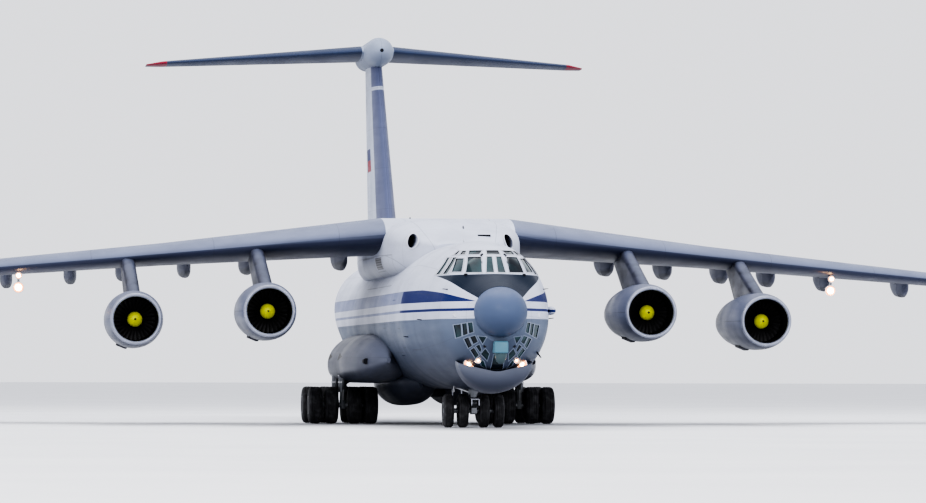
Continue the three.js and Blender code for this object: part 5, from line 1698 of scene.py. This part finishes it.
def nozzle(engine, side):
    """The metal nozzle ring, the bulkhead inside it, the cone and the mixer's lobes."""
    start, end = aft_of(intake(engine, side))
    inner, edge, back = NOZZLE["inner"], NOZZLE["edge"], COWL_END - 0.005
    first = COWL_END - NOZZLE["depth"]
    inside = [(edge - 0.022, back), (inner - 0.02, first + 0.05), (0, first + 0.05)]
    ring = turned([(0, first), (inner, first), (edge - 0.01, back)] + inside, start, end, 96)
    cone = []
    for distance in np.linspace(0, CONE[-1][0], 24):
        cone.append((max(0.0, float(curve_through(CONE, distance)[0])), first + 0.04 + distance))
    cone = turned([(0, first + 0.03)] + cone[:-1] + [(0, cone[-1][1])], start, end, 64)
    lobes = []
    for k in range(LOBES["count"]):
        angle = 2 * math.pi * (k + 0.5) / LOBES["count"]
        outward = np.array([math.cos(angle), 0, math.sin(angle)])
        foot = start + [0, first + LOBES["start"], 0] + outward * LOBES["foot"]
        head = start + [0, first + LOBES["end"], 0] + outward * LOBES["head"]
        lobes.append(bar(foot, head, LOBES["radius"], LOBES["tip"], 10))
    return joined(ring, cone, *lobes)


def filled_cowl(engine, side, grow):
    outside = [(LIP["front"] + grow, 0)] + [(r + grow, d) for r, d in cowl_curve()]
    return turned([(0, 0)] + outside + [(0, COWL_END)], *aft_of(intake(engine, side)), 96)


# The pylon's foot is stated from the middle of the intake; its head is in the wing
PYLON = {
    "half": 0.22, "foot_up": 0.8, "foot_front": 0.78, "foot_back": 6.4, "head_front": 0.38, "head_back": 0.54,
    "nose": 0.14, "taper": 0.6,
}


def pylon_width(t):
    """Half thickness at a share of the pylon's length, over its greatest."""
    nose, taper = PYLON["nose"], PYLON["taper"]
    if t < nose:
        return math.sqrt(max(0.0, 1 - (1 - t / nose) ** 2))
    return 1.0 if t < taper else 1 - 0.9 * ((t - taper) / (1 - taper)) ** 1.6


def pylon(engine, side):
    _, out, station, height = engine
    lead, wing_height, chord, _, _ = rib_at(out)
    low = (height + PYLON["foot_up"], station + PYLON["foot_front"], station + PYLON["foot_back"])
    high = (wing_height + 0.1, lead + PYLON["head_front"], lead + chord * PYLON["head_back"])
    port = [(t, pylon_width(t) * PYLON["half"]) for t in cosine_shares(22)]
    outline = port + [(t, -w) for t, w in reversed(port[1:])]
    rings = []
    for u in np.linspace(0, 1, 9):
        up, front, back = (lerp(a, b, u) for a, b in zip(low, high))
        rings.append([[side * out + w, lerp(front, back, t), up] for t, w in outline])
    return minus(loft(rings), grown_wing(side, TOUCH * 2), above_wing(side), filled_cowl(engine, side, TOUCH))


# A blade's section as shares of its chord and thickness; its twist and chord at hub and tip
BLADE_SECTION = [(-0.5, 0), (-0.2, 0.9), (0.15, 1), (0.5, 0), (0.15, -0.4), (-0.2, -0.5)]
BLADE = {"sunk": 0.03, "twist": (0.45, 1.05), "chord": (0.16, 0.2), "thick": 0.012, "aft": 0.17}


def fan_blade(middle, angle):
    """One twisted blade, standing out from the hub at an angle."""
    along, across = np.array([0, 1.0, 0]), np.array([1.0, 0, 0])
    out = across * math.cos(angle) + np.cross(along, across) * math.sin(angle)
    turn = np.cross(along, out)
    rings = []
    for t in np.linspace(0, 1, 6):
        twist = lerp(*BLADE["twist"], t)
        chord = lerp(*BLADE["chord"], t) * (1 - 0.25 * t**4)
        line = along * math.cos(twist) + turn * math.sin(twist)
        face = np.cross(line, out) * BLADE["thick"]
        centre = middle + along * BLADE["aft"] + out * lerp(FAN["hub"] - BLADE["sunk"], FAN["tip"], t)
        rings.append([centre + line * chord * u + face * v for u, v in BLADE_SECTION])
    return loft(rings)


def fan(engine, side):
    """The fan's drum and blades."""
    middle = intake(engine, side) + [0, FAN["behind"], 0]
    hub, depth = FAN["hub"], FAN["depth"]
    drum = turned([(0, -0.001), (hub, 0), (hub, depth), (0, depth)], *aft_of(middle), 48)
    return joined(drum, *(fan_blade(middle, angle) for angle in full_turn(FAN["blades"])))


def spinner(engine, side):
    """The yellow dome ahead of the fan."""
    profile = []
    for t in np.linspace(0, 1, 17):
        profile.append((FAN["hub"] * math.sin(t * math.pi / 2), -FAN["spinner"] * (1 - t) ** 1.2))
    return turned(profile + [(0, 0.001)], *aft_of(intake(engine, side) + [0, FAN["behind"], 0]), 48)


def spinner_tip(engine, side):
    """The dark button on the spinner."""
    profile = [(0, -0.012), (0.03, -0.008), (0.036, 0.01), (0.03, 0.06), (0, 0.06)]
    return turned(profile, *aft_of(intake(engine, side) + [0, FAN["behind"] - FAN["spinner"], 0]), 24)


# Main gear fairings. Columns: station, half width, top height, height of the widest point, bottom height
SPONSON_FRAMES = [
    [13.6, 0.06, 2.3, 2.2, 2.1],
    [14.8, 0.5, 2.75, 2.15, 1.8],
    [16.6, 0.9, 3.02, 2.1, 1.52],
    [19.0, 1.14, 3.12, 2.1, 1.42],
    [23.9, 1.13, 3.12, 2.1, 1.42],
    [25.0, 1.04, 3.1, 2.1, 1.45],
    [26.8, 0.82, 2.9, 2.15, 1.6],
    [28.9, 0.1, 2.35, 2.25, 2.15],
]
SPONSON_OUT = 2.22
SPONSON_OVER = 1.1
SPONSON_UNDER = 0.7
# Columns: station, half width, bottom height
BLISTER_FRAMES = [
    [15.8, 0.08, 1.28],
    [17.0, 0.62, 0.98],
    [18.8, 0.85, 0.68],
    [22.8, 0.87, 0.63],
    [25.2, 0.69, 0.82],
    [27.2, 0.1, 1.28],
]
BLISTER_OUT = 0.9
BLISTER_MIDDLE = 1.5


def sponson_form(side, grow=0.0):
    """A gear fairing's whole body, full below and narrower above."""
    rings = []
    for station in stations_between(SPONSON_FRAMES[0][0], SPONSON_FRAMES[-1][0], 0.25):
        half, top, wide, bottom = curve_through(SPONSON_FRAMES, station)
        ring = []
        for angle in full_turn(72):
            c, s = math.cos(angle), math.sin(angle)
            power = SPONSON_OVER if s > 0 else SPONSON_UNDER
            rise = (top - wide if s > 0 else wide - bottom) + grow
            out = SPONSON_OUT + (half + grow) * signed_power(c, power)
            ring.append([side * out, wide + rise * signed_power(s, power)])
        rings.append(at_station(station, ring))
    return loft(rings)


def blister_form(side):
    rings = []
    for station in stations_between(BLISTER_FRAMES[0][0], BLISTER_FRAMES[-1][0], 0.25):
        half, bottom = curve_through(BLISTER_FRAMES, station)
        ring = []
        for angle in full_turn(56):
            out = side * BLISTER_OUT + half * math.cos(angle)
            ring.append([out, BLISTER_MIDDLE + (BLISTER_MIDDLE - bottom) * math.sin(angle)])
        rings.append(at_station(station, ring))
    return loft(rings)


# Landing gear
MAIN_OUT = 3.1
MAIN_STATIONS = (20.9, 23.55)
MAIN_TYRE = {"radius": 0.65, "width": 0.48, "near": 0.41, "far": 0.97, "rim": 0.3}
NOSE_TYRE = {"radius": 0.55, "width": 0.33, "near": 0.34, "far": 0.82, "rim": 0.26}
NOSE_STATION = 8.35
LEG_RADIUS = 0.15
LEG_TOP = 2.0
BRACE_RADIUS = 0.055
TYRE_SQUASH = 0.004
GROOVE = {"shares": (-0.27, -0.09, 0.09, 0.27), "half_share": 0.018, "depth": 0.014}
BOLTS = {"count": 10, "ring": 0.2, "length": 0.05, "radius": 0.018}


def brace_ends(side, station):
    return [
        ([side * MAIN_OUT, station, 1.36], [side * (MAIN_OUT - 0.75), station, 1.75]),
        ([side * MAIN_OUT, station, 1.02], [side * MAIN_OUT, station - 0.62, 1.75]),
    ]


def sponson(side):
    """The gear fairing with room for the ramp, the legs and their braces."""
    slack = TOUCH * 3
    tools = [fuselage_cutter(), ramp_prism(CLEAR)]
    for station in MAIN_STATIONS:
        foot = [side * MAIN_OUT, station, 1.2]
        tools.append(bar(foot, [*foot[:2], LEG_TOP + slack], LEG_RADIUS + slack))
        for foot, head in brace_ends(side, station):
            past = np.asarray(foot) + (np.asarray(head) - np.asarray(foot)) * 1.03
            tools.append(bar(foot, past, BRACE_RADIUS + slack))
    return minus(sponson_form(side), *tools)


BLISTER_JOINT = ([-0.5, 19.0, 0.95], [0.5, 23.5, 1.5])


def belly_blisters():
    made = plus(blister_form(1), blister_form(-1), box(*BLISTER_JOINT))
    return minus(made, fuselage_cutter(), ramp_prism(CLEAR), sponson_form(1, TOUCH), sponson_form(-1, TOUCH))


def tyre_profile(middle, tyre):
    """Round-shouldered tyre section as (radius, distance out)."""
    half, rim = tyre["width"] / 2, tyre["rim"]
    profile = []
    for angle in np.linspace(-math.pi / 2, math.pi / 2, 31):
        rise = (tyre["radius"] - TYRE_SQUASH - rim) * abs(math.cos(angle)) ** 0.5
        profile.append((rim + rise, middle + half * signed_power(math.sin(angle), 0.55)))
    return profile


def tread_grooves(profile, middle, width):
    """Sinks four narrow grooves into the tread of a profile."""
    groove = width * GROOVE["half_share"]
    radii, outs = np.array(profile).T
    made = list(profile)
    for share in GROOVE["shares"]:
        for off, sink in ((-2, 0), (-1, GROOVE["depth"]), (1, GROOVE["depth"]), (2, 0)):
            out = middle + width * share + off * groove
            made.append((float(np.interp(out, outs, radii)) - sink, out))
    return sorted(made, key=lambda point: point[1])


def hub_profile(middle, half, rim):
    """Section of a wheel's rim and dished disc as (radius, distance out)."""
    face = middle + half * 0.5
    return [
        (0, middle - half * 0.5), (rim * 0.9, middle - half * 0.5), (rim, middle - half * 0.95),
        (rim + 0.012, middle - half), (rim + 0.012, middle + half), (rim - 0.02, middle + half),
        (rim - 0.05, face), (rim * 0.55, face - 0.02), (rim * 0.5, face + 0.05), (rim * 0.3, face + 0.07),
        (0, face + 0.07),
    ]


def wheel_pair(tyre, side_out, station, facing):
    """Tyres and hubs of one pair. facing is the sign of the outward direction."""
    start = np.array([side_out, station, tyre["radius"]])
    end = start + [facing, 0, 0]
    half = tyre["width"] / 2
    tyres, hubs = [], []
    for middle in (tyre["near"], tyre["far"]):
        profile = tread_grooves(tyre_profile(middle, tyre), middle, tyre["width"])
        closed = [(0, profile[0][1] + 0.02)] + profile + [(0, profile[-1][1] - 0.02)]
        tyres.append(turned(closed, start, end, 64))
        hubs.append(turned(hub_profile(middle, half, tyre["rim"]), start, end, 48))
        for angle in full_turn(BOLTS["count"]):
            up, aft = BOLTS["ring"] * math.sin(angle), BOLTS["ring"] * math.cos(angle)
            at = start + [facing * (middle + half * 0.5 - 0.03), aft, up]
            hubs.append(bar(at, at + [facing * BOLTS["length"], 0, 0], BOLTS["radius"], sides=8))
    return joined(*tyres), joined(*hubs)


# Tail
# Columns: height, leading edge's station, chord, half thickness
FIN_FRAMES = [[5.2, 33.5, 9.4, 0.48], [13.85, 40.0, 5.05, 0.24]]
FIN_HEIGHTS = (5.2, 7, 9, 11, 12.5, 13.85)
# Columns: share of the chord, half thickness there over its greatest
FIN_SHAPE = [
    [0, 0], [0.015, 0.28], [0.06, 0.55], [0.16, 0.85], [0.35, 1], [0.6, 0.86], [0.8, 0.48], [1, 0.04],
]
# Share of the chord where the round nose ends, and half thickness there over its greatest
FIN_NOSE = (0.06, 0.55)
FIN_SHARES = cosine_shares(24)
RUDDER = {"bottom": 6.35, "top": 13.3, "share": 0.69}
RUDDER_ROOM = 0.13
# Columns: station, top height, half width
DORSAL_FRAMES = [[29.6, 6.06, 0.05], [31.5, 6.32, 0.2], [33.8, 7.0, 0.3], [35.9, 7.8, 0.26]]
DORSAL_FOOT = 5.5
# Columns: distance aft of the tip, radius
BULLET_PROFILE = [
    [0, 0], [0.12, 0.24], [0.5, 0.45], [1.2, 0.56], [3.4, 0.56], [5.6, 0.5], [6.9, 0.36], [7.6, 0.16],
    [7.75, 0],
]
# Distance aft of the tip where the round nose ends, and the radius there
BULLET_NOSE = (0.5, 0.45)
BULLET_TIP = 38.6
BULLET_HEIGHT = HEIGHT - 0.56
# Columns: metres out, leading edge's station, chord, half thickness, height
TAILPLANE_RIBS = [
    [0, 39.72, 5.25, 0.3, 14.26],
    [0.5, 40.0, 5.1, 0.29, 14.25],
    [8.1, 44.31, 2.1, 0.1, 13.99],
    [8.7, 45.19, 1.4, 0.04, 13.97],
]
TAILPLANE_OUTS = (0, 0.5, 3, 5.5, 8.1, 8.3, 8.45, 8.57, 8.65, 8.7)
ELEVATOR = {"inner": 0.8, "outer": 8.0, "share": 0.7}


def fin_shape(share):
    """Half thickness at a share of the chord, over its greatest, with a round nose."""
    if share < FIN_NOSE[0]:
        return FIN_NOSE[1] * math.sqrt(share / FIN_NOSE[0])
    return float(curve_through(FIN_SHAPE, share)[0])


def fin_at(height):
    """Leading edge, chord and half thickness at a height."""
    return line_through(FIN_FRAMES, height)


def whole_fin():
    rings = []
    for height in FIN_HEIGHTS:
        lead, chord, half = fin_at(height)
        port = [[half * fin_shape(t), lead + chord * t, height] for t in FIN_SHARES]
        rings.append(port + [[-x, y, z] for x, y, z in reversed(port[1:])])
    return loft(rings)


def rudder_line():
    line = []
    for height in (RUDDER["bottom"], RUDDER["top"]):
        lead, chord, half = fin_at(height)
        line.append(([0, lead + chord * RUDDER["share"], height], half * fin_shape(RUDDER["share"])))
    return line


def rudder_region(grow):
    room = RUDDER_ROOM if grow > 0 else 0
    ends = box([-2, 10, RUDDER["bottom"] - room], [2, LENGTH + 1, RUDDER["top"] + room])
    return rounded_region(rudder_line(), 4.5, 0.6, grow, ends)


def dorsal():
    """The fillet that runs up the back to the fin's foot."""
    rings = []
    for station in stations_between(DORSAL_FRAMES[0][0], DORSAL_FRAMES[-1][0], 0.3):
        top, half = curve_through(DORSAL_FRAMES, station)
        shoulder = lerp(5.9, top, 0.6)
        ring = [[-half * 1.5, DORSAL_FOOT], [half * 1.5, DORSAL_FOOT], [half, shoulder]]
        for angle in np.linspace(0.2, math.pi - 0.2, 9):
            ring.append([half * 0.85 * math.cos(angle), lerp(shoulder, top, math.sin(angle))])
        rings.append(at_station(station, ring + [[-half, shoulder]]))
    return loft(rings)


def bullet(grow=0.0):
    """The long fairing where fin and tailplane meet, with a round nose."""
    nose, nose_radius = BULLET_NOSE
    profile = []
    for t in end_to_end(np.linspace(0, nose, 12), np.linspace(nose, BULLET_PROFILE[-1][0], 36)):
        round_nose = nose_radius * math.sqrt(max(0.0, t / nose))
        radius = float(curve_through(BULLET_PROFILE, t)[0]) if t > nose else round_nose
        profile.append((radius + grow if radius > 0 else 0, float(t)))
    profile[-1] = (0, profile[-1][1])
    return turned(profile, *aft_of([0, BULLET_TIP, BULLET_HEIGHT]), 64)


def tailplane_at(out):
    """Leading edge, chord, half thickness and height at a distance out."""
    return line_through(TAILPLANE_RIBS, out)


def half_tailplane(side):
    rings = []
    for out in TAILPLANE_OUTS:
        lead, chord, half, height = tailplane_at(out)
        top, under = (
            [[lead + chord * t, height + way * half * fin_shape(t)] for t in FIN_SHARES] for way in (1, -1)
        )
        rings.append(at_out(side * out, top + list(reversed(under[1:]))))
    return loft(rings)


def elevator_line(side):
    share = ELEVATOR["share"]
    line = []
    for out in (ELEVATOR["inner"], ELEVATOR["outer"]):
        lead, chord, half, height = tailplane_at(out)
        line.append(([side * out, lead + chord * share, height], half * fin_shape(share)))
    return line


def elevator_region(side, grow):
    room = END_ROOM if grow > 0 else 0
    ends = between_outs(side, ELEVATOR["inner"] - room, ELEVATOR["outer"] + room)
    return rounded_region(elevator_line(side), 2.6, 0.5, grow, ends)


def tailplane():
    halves = [minus(half_tailplane(side), elevator_region(side, CLEAR)) for _, side in SIDES]
    return plus(bullet(), *halves)


def fin():
    made = plus(minus(whole_fin(), rudder_region(CLEAR)), dorsal())
    return minus(made, fuselage_cutter(), saddle(-TOUCH), bullet(TOUCH))


# Materials
FUSELAGE_PAINT = fuselage_paint()
WING_PAINT = wing_paint()
FIN_PAINT = fin_paint()
TAILPLANE_PAINT = tailplane_paint()
COWL_PAINT = cowl_paint()
PYLON_PAINT = pylon_paint()
# The chin gets strong painted shade on surfaces that face downwards
CHIN_PAINT = plain_paint("chin_paint", (0.11, 0.122, 0.16), 0.36, under=0.75)
SPONSON_PAINT = sponson_paint()
RADOME_PAINT = radome_paint()
SENSOR_PAINT = plain_paint("sensor_paint", (0.09, 0.19, 0.25), 0.35)
SENSOR_GLASS = plain_paint("sensor_glass", (0.06, 0.09, 0.1), 0.15, grime=0.05)
SPINNER_YELLOW = plain_paint("spinner_yellow", (0.85, 0.9, 0.02), 0.4, grime=0.03, under=0.0)
FITTING_DARK = plain_paint("fitting_dark", (0.012, 0.013, 0.018), 0.5, grime=0.05)
FITTING_PALE = plain_paint("fitting_pale", (0.55, 0.57, 0.63), 0.4, grime=0.1)
LAMP_WARM = lamp("lamp_warm", (1.0, 0.27, 0.04), 2.5)
LAMP_CORE = lamp("lamp_core", (1.0, 0.62, 0.3), 30.0)
FAN_METAL = metal("fan_metal", (0.12, 0.12, 0.13), 0.42)
BARE_METAL = metal("bare_metal", (0.5, 0.51, 0.53), 0.33)
GEAR_METAL = metal("gear_metal", (0.2, 0.21, 0.23), 0.45, 0.6)
TYRE_RUBBER = rubber()
DARK_GLASS = glass()
CABIN = plain_paint("cabin_lining", (0.16, 0.22, 0.2), 0.6)
WINDOW_FRAME = plain_paint("window_frame", (0.42, 0.44, 0.5), 0.35)
NAVIGATOR_FRAME = plain_paint("navigator_frame", (0.2, 0.235, 0.31), 0.35)
LIP_METAL = metal("lip_metal", (0.27, 0.29, 0.37), 0.3, 0.4)
# Near-black as painted shade deep in the intakes
DUCT_SHADE = plain_paint("duct_shade", (0.006, 0.006, 0.007), 0.85, grime=0.02)
BURNT_METAL = metal("burnt_metal", (0.22, 0.19, 0.17), 0.4)


# The fuselage's pieces
dress(nose_skin(), "nose_skin", FUSELAGE_PAINT, replaced=["nose_section"])
cover(nose_cap(), "nose_radome", RADOME_PAINT)
cover(chin(), "chin_radome", CHIN_PAINT)
for name, outlines, node in (
    ("windscreen", windscreen_outlines(), "flight_deck_glazing"),
    ("navigator", navigator_outlines(), "navigator_glazing"),
):
    dress(glass_panes(outlines), f"{name}_glass", DARK_GLASS, replaced=[node])
dress(window_frames(windscreen_outlines()), "windscreen_gaskets", WINDOW_FRAME)
dress(window_frames(navigator_outlines()), "navigator_gaskets", NAVIGATOR_FRAME)
dress(sensor_box(), "sensor_box", SENSOR_PAINT)
dress(sensor_ball(), "sensor_ball", SENSOR_GLASS)
dress(aerial_pod(), "aerial_pod", FUSELAGE_PAINT)
dress(dark_fittings(), "dark_fittings", FITTING_DARK)
dress(pale_fittings(), "pale_fittings", FITTING_PALE)
dress(nose_lamps("lens"), "nose_lamps", LAMP_WARM)
dress(nose_lamps("rim"), "nose_lamp_rims", BARE_METAL)
dress(nose_lamps("bulb"), "nose_lamp_cores", LAMP_CORE)
dress(gear_fittings(), "gear_fittings", BARE_METAL)
dress(nose_gear_links(), "nose_gear_links", GEAR_METAL, "nose_steering")
dress(tow_frame(), "tow_frame", FITTING_PALE, "nose_steering")
dress(fin_collar(), "fin_collar", FITTING_PALE)
dress(hold_skin(), "hold_skin", FUSELAGE_PAINT, replaced=["hold_section"])
dress(tail_skin(), "tail_skin", FUSELAGE_PAINT, replaced=["tail_section"])
cover_moving(within(tail_body(), ramp_prism(0)), "cargo_ramp", FUSELAGE_PAINT)
cover_moving(within(tail_shell(), middle_prism(0)), "cargo_middle_door", FUSELAGE_PAINT)
cover(wing_fairing(), "wing_fairing", FUSELAGE_PAINT)
dress(ram_rims(), "ram_intake_rims", FITTING_PALE)
dress(belly_blisters(), "belly_blister_skin", SPONSON_PAINT, replaced=["belly_blisters"])
cover(fin(), "fin", FIN_PAINT)
cover_moving(within(whole_fin(), rudder_region(0)), "rudder", FIN_PAINT)
cover(tailplane(), "tailplane", TAILPLANE_PAINT)


def door_pieces(side_name, side):
    """The entry door and the cargo side door of one side."""
    shell = minus(hold_body(), hold_body(WALL, (WALL, 0.2)))
    entry_door, cargo_door = within(shell, entry_prism(side, 0)), within(tail_shell(), petal_prism(side, 0))
    cover_moving(entry_door, f"entry_door_{side_name}", FUSELAGE_PAINT)
    cover_moving(cargo_door, f"cargo_side_door_{side_name}", FUSELAGE_PAINT)


def wing_pieces(side_name, side):
    """One wing with its landing lamps, flaps and aileron, and the elevator of that side."""
    cover(wing(side), f"wing_{side_name}", WING_PAINT)
    dress(wing_lamps(side, "lens"), f"landing_lamps_{side_name}", LAMP_WARM)
    dress(wing_lamps(side, "bulb"), f"landing_bulbs_{side_name}", LAMP_CORE)
    dress(wing_lamps(side, "housing"), f"landing_lamp_backs_{side_name}", BARE_METAL)
    for row in FLAPS:
        cover_moving(flap(side, row), f"flap_{row[0]}_{side_name}", WING_PAINT)
    aileron = within(whole_wing(side), aileron_region(side, 0))
    cover_moving(aileron, f"aileron_{side_name}", WING_PAINT)
    elevator = within(half_tailplane(side), elevator_region(side, 0))
    cover_moving(elevator, f"elevator_{side_name}", TAILPLANE_PAINT)


def engine_pieces(engine, side_name, side):
    """One engine with its pylon."""
    place = f"{engine[0]}_{side_name}"
    rotor = f"fan_{place}"
    cover(cowl(engine, side), f"nacelle_{place}", COWL_PAINT)
    dress(lip(engine, side), f"intake_lip_{place}", LIP_METAL)
    dress(duct(engine, side), f"intake_duct_{place}", DUCT_SHADE)
    dress(nozzle(engine, side), f"nozzle_{place}", BURNT_METAL)
    cover(pylon(engine, side), f"pylon_{place}", PYLON_PAINT)
    dress(fan(engine, side), f"{rotor}_blades", FAN_METAL, rotor, [rotor])
    dress(spinner(engine, side), f"spinner_{place}", SPINNER_YELLOW, rotor)
    dress(spinner_tip(engine, side), f"spinner_tip_{place}", FITTING_DARK, rotor)
    dress(cowl_scoop(engine, side), f"cowl_scoop_{place}", FITTING_DARK)


def wheels(name, tyre, side_out, station, facing):
    """One pair of wheels, which rides on the body it is named after."""
    tyres, hubs = wheel_pair(tyre, side_out, station, facing)
    dress(tyres, f"{name}_tyres", TYRE_RUBBER, name, [name])
    dress(hubs, f"{name}_hubs", GEAR_METAL, name)


for side_name, side in SIDES:
    door_pieces(side_name, side)
    wing_pieces(side_name, side)
    cover(sponson(side), f"sponson_{side_name}", SPONSON_PAINT)
    for engine in ENGINES:
        engine_pieces(engine, side_name, side)
    for row_name, station in zip(("front", "rear"), MAIN_STATIONS):
        for half_name, turn in (("outboard", 1), ("inboard", -1)):
            name = f"main_wheels_{row_name}_{side_name}_{half_name}"
            wheels(name, MAIN_TYRE, side * MAIN_OUT, station, side * turn)
    wheels(f"nose_wheels_{side_name}", NOSE_TYRE, 0, NOSE_STATION, side)

for name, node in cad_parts.items():
    if not node.hide_render:
        node.data.materials.clear()
        node.data.materials.append(CABIN if name == "flight_deck" else GEAR_METAL)


# Stage: floor, pale studio, lights and the camera. Sizes here are Blender metres.

FLOOR_REACH = 900
FLOOR_DARK, FLOOR_PALE = (0.7, 0.71, 0.74), (0.76, 0.77, 0.79)
STUDIO_COLOR = (0.84, 0.85, 0.9, 1)
STUDIO_STRENGTH = 1.2
LIGHT_TARGET = Vector((0, 0, 2))
# Columns: name, place, power in watts, width, colour
LIGHTS = [
    ("key", (-30, -62, 34), 18000, 26, (1.0, 0.97, 0.94)),
    ("front", (16, -84, 12), 9000, 14, (1.0, 0.98, 0.96)),
    ("fill", (34, -30, 14), 2500, 26, (0.92, 0.95, 1.0)),
    ("top", (0, 4, 36), 9000, 34, (1.0, 1.0, 1.0)),
]


def stage():
    far = FLOOR_REACH
    corners = [[-far, -far, 0], [far, -far, 0], [far, far, 0], [-far, far, 0]]
    floor = mesh_object("floor", corners, [(0, 1, 2, 3)])
    finish = Finish("pale_floor", FLOOR_PALE, 0.8)
    cloud = finish.spread(finish.noise(finish.vector(), 0.12, 4.0), 0.3, 0.7)
    finish.set("Base Color", finish.blend(cloud, FLOOR_DARK, FLOOR_PALE))
    floor.data.materials.append(finish.material)

    world = bpy.data.worlds.new("studio")
    world.use_nodes = True
    background = world.node_tree.nodes["Background"]
    background.inputs["Color"].default_value = STUDIO_COLOR
    background.inputs["Strength"].default_value = STUDIO_STRENGTH
    bpy.context.scene.world = world
    bpy.context.scene.view_settings.look = "AgX - High Contrast"

    for name, at, power, size, color in LIGHTS:
        data = bpy.data.lights.new(name, "AREA")
        data.energy = power
        data.size = size
        data.color = color
        light = bpy.data.objects.new(name, data)
        light.location = at
        light.rotation_mode = "QUATERNION"
        light.rotation_quaternion = (Vector(at) - LIGHT_TARGET).to_track_quat("Z", "Y")
        bpy.context.scene.collection.objects.link(light)


# The camera stands where the photograph's did, a little above the ground ahead of the plane
CAMERA = {
    "at": (-9.4858, -87.9901, 0.85414), "yaw": 6.59973, "pitch": 1.41442, "roll": 0.12144,
    "lens": 194.29, "sensor": 36, "reach": 2000,
}


def camera():
    data = bpy.data.cameras.new("camera")
    data.sensor_width = CAMERA["sensor"]
    data.lens = CAMERA["lens"]
    data.clip_end = CAMERA["reach"]
    made = bpy.data.objects.new("camera", data)
    bpy.context.scene.collection.objects.link(made)
    yaw, pitch, roll = (math.radians(CAMERA[k]) for k in ("yaw", "pitch", "roll"))
    ahead = Vector((math.sin(yaw) * math.cos(pitch), math.cos(yaw) * math.cos(pitch), math.sin(pitch)))
    right = Vector((math.cos(yaw), -math.sin(yaw), 0))
    up = right.cross(ahead)
    rolled_right = right * math.cos(roll) + up * math.sin(roll)
    rolled_up = up * math.cos(roll) - right * math.sin(roll)
    turn = Matrix((rolled_right, rolled_up, -ahead)).transposed()
    made.matrix_world = Matrix.Translation(CAMERA["at"]) @ turn.to_4x4()
    bpy.context.scene.camera = made


stage()
camera()
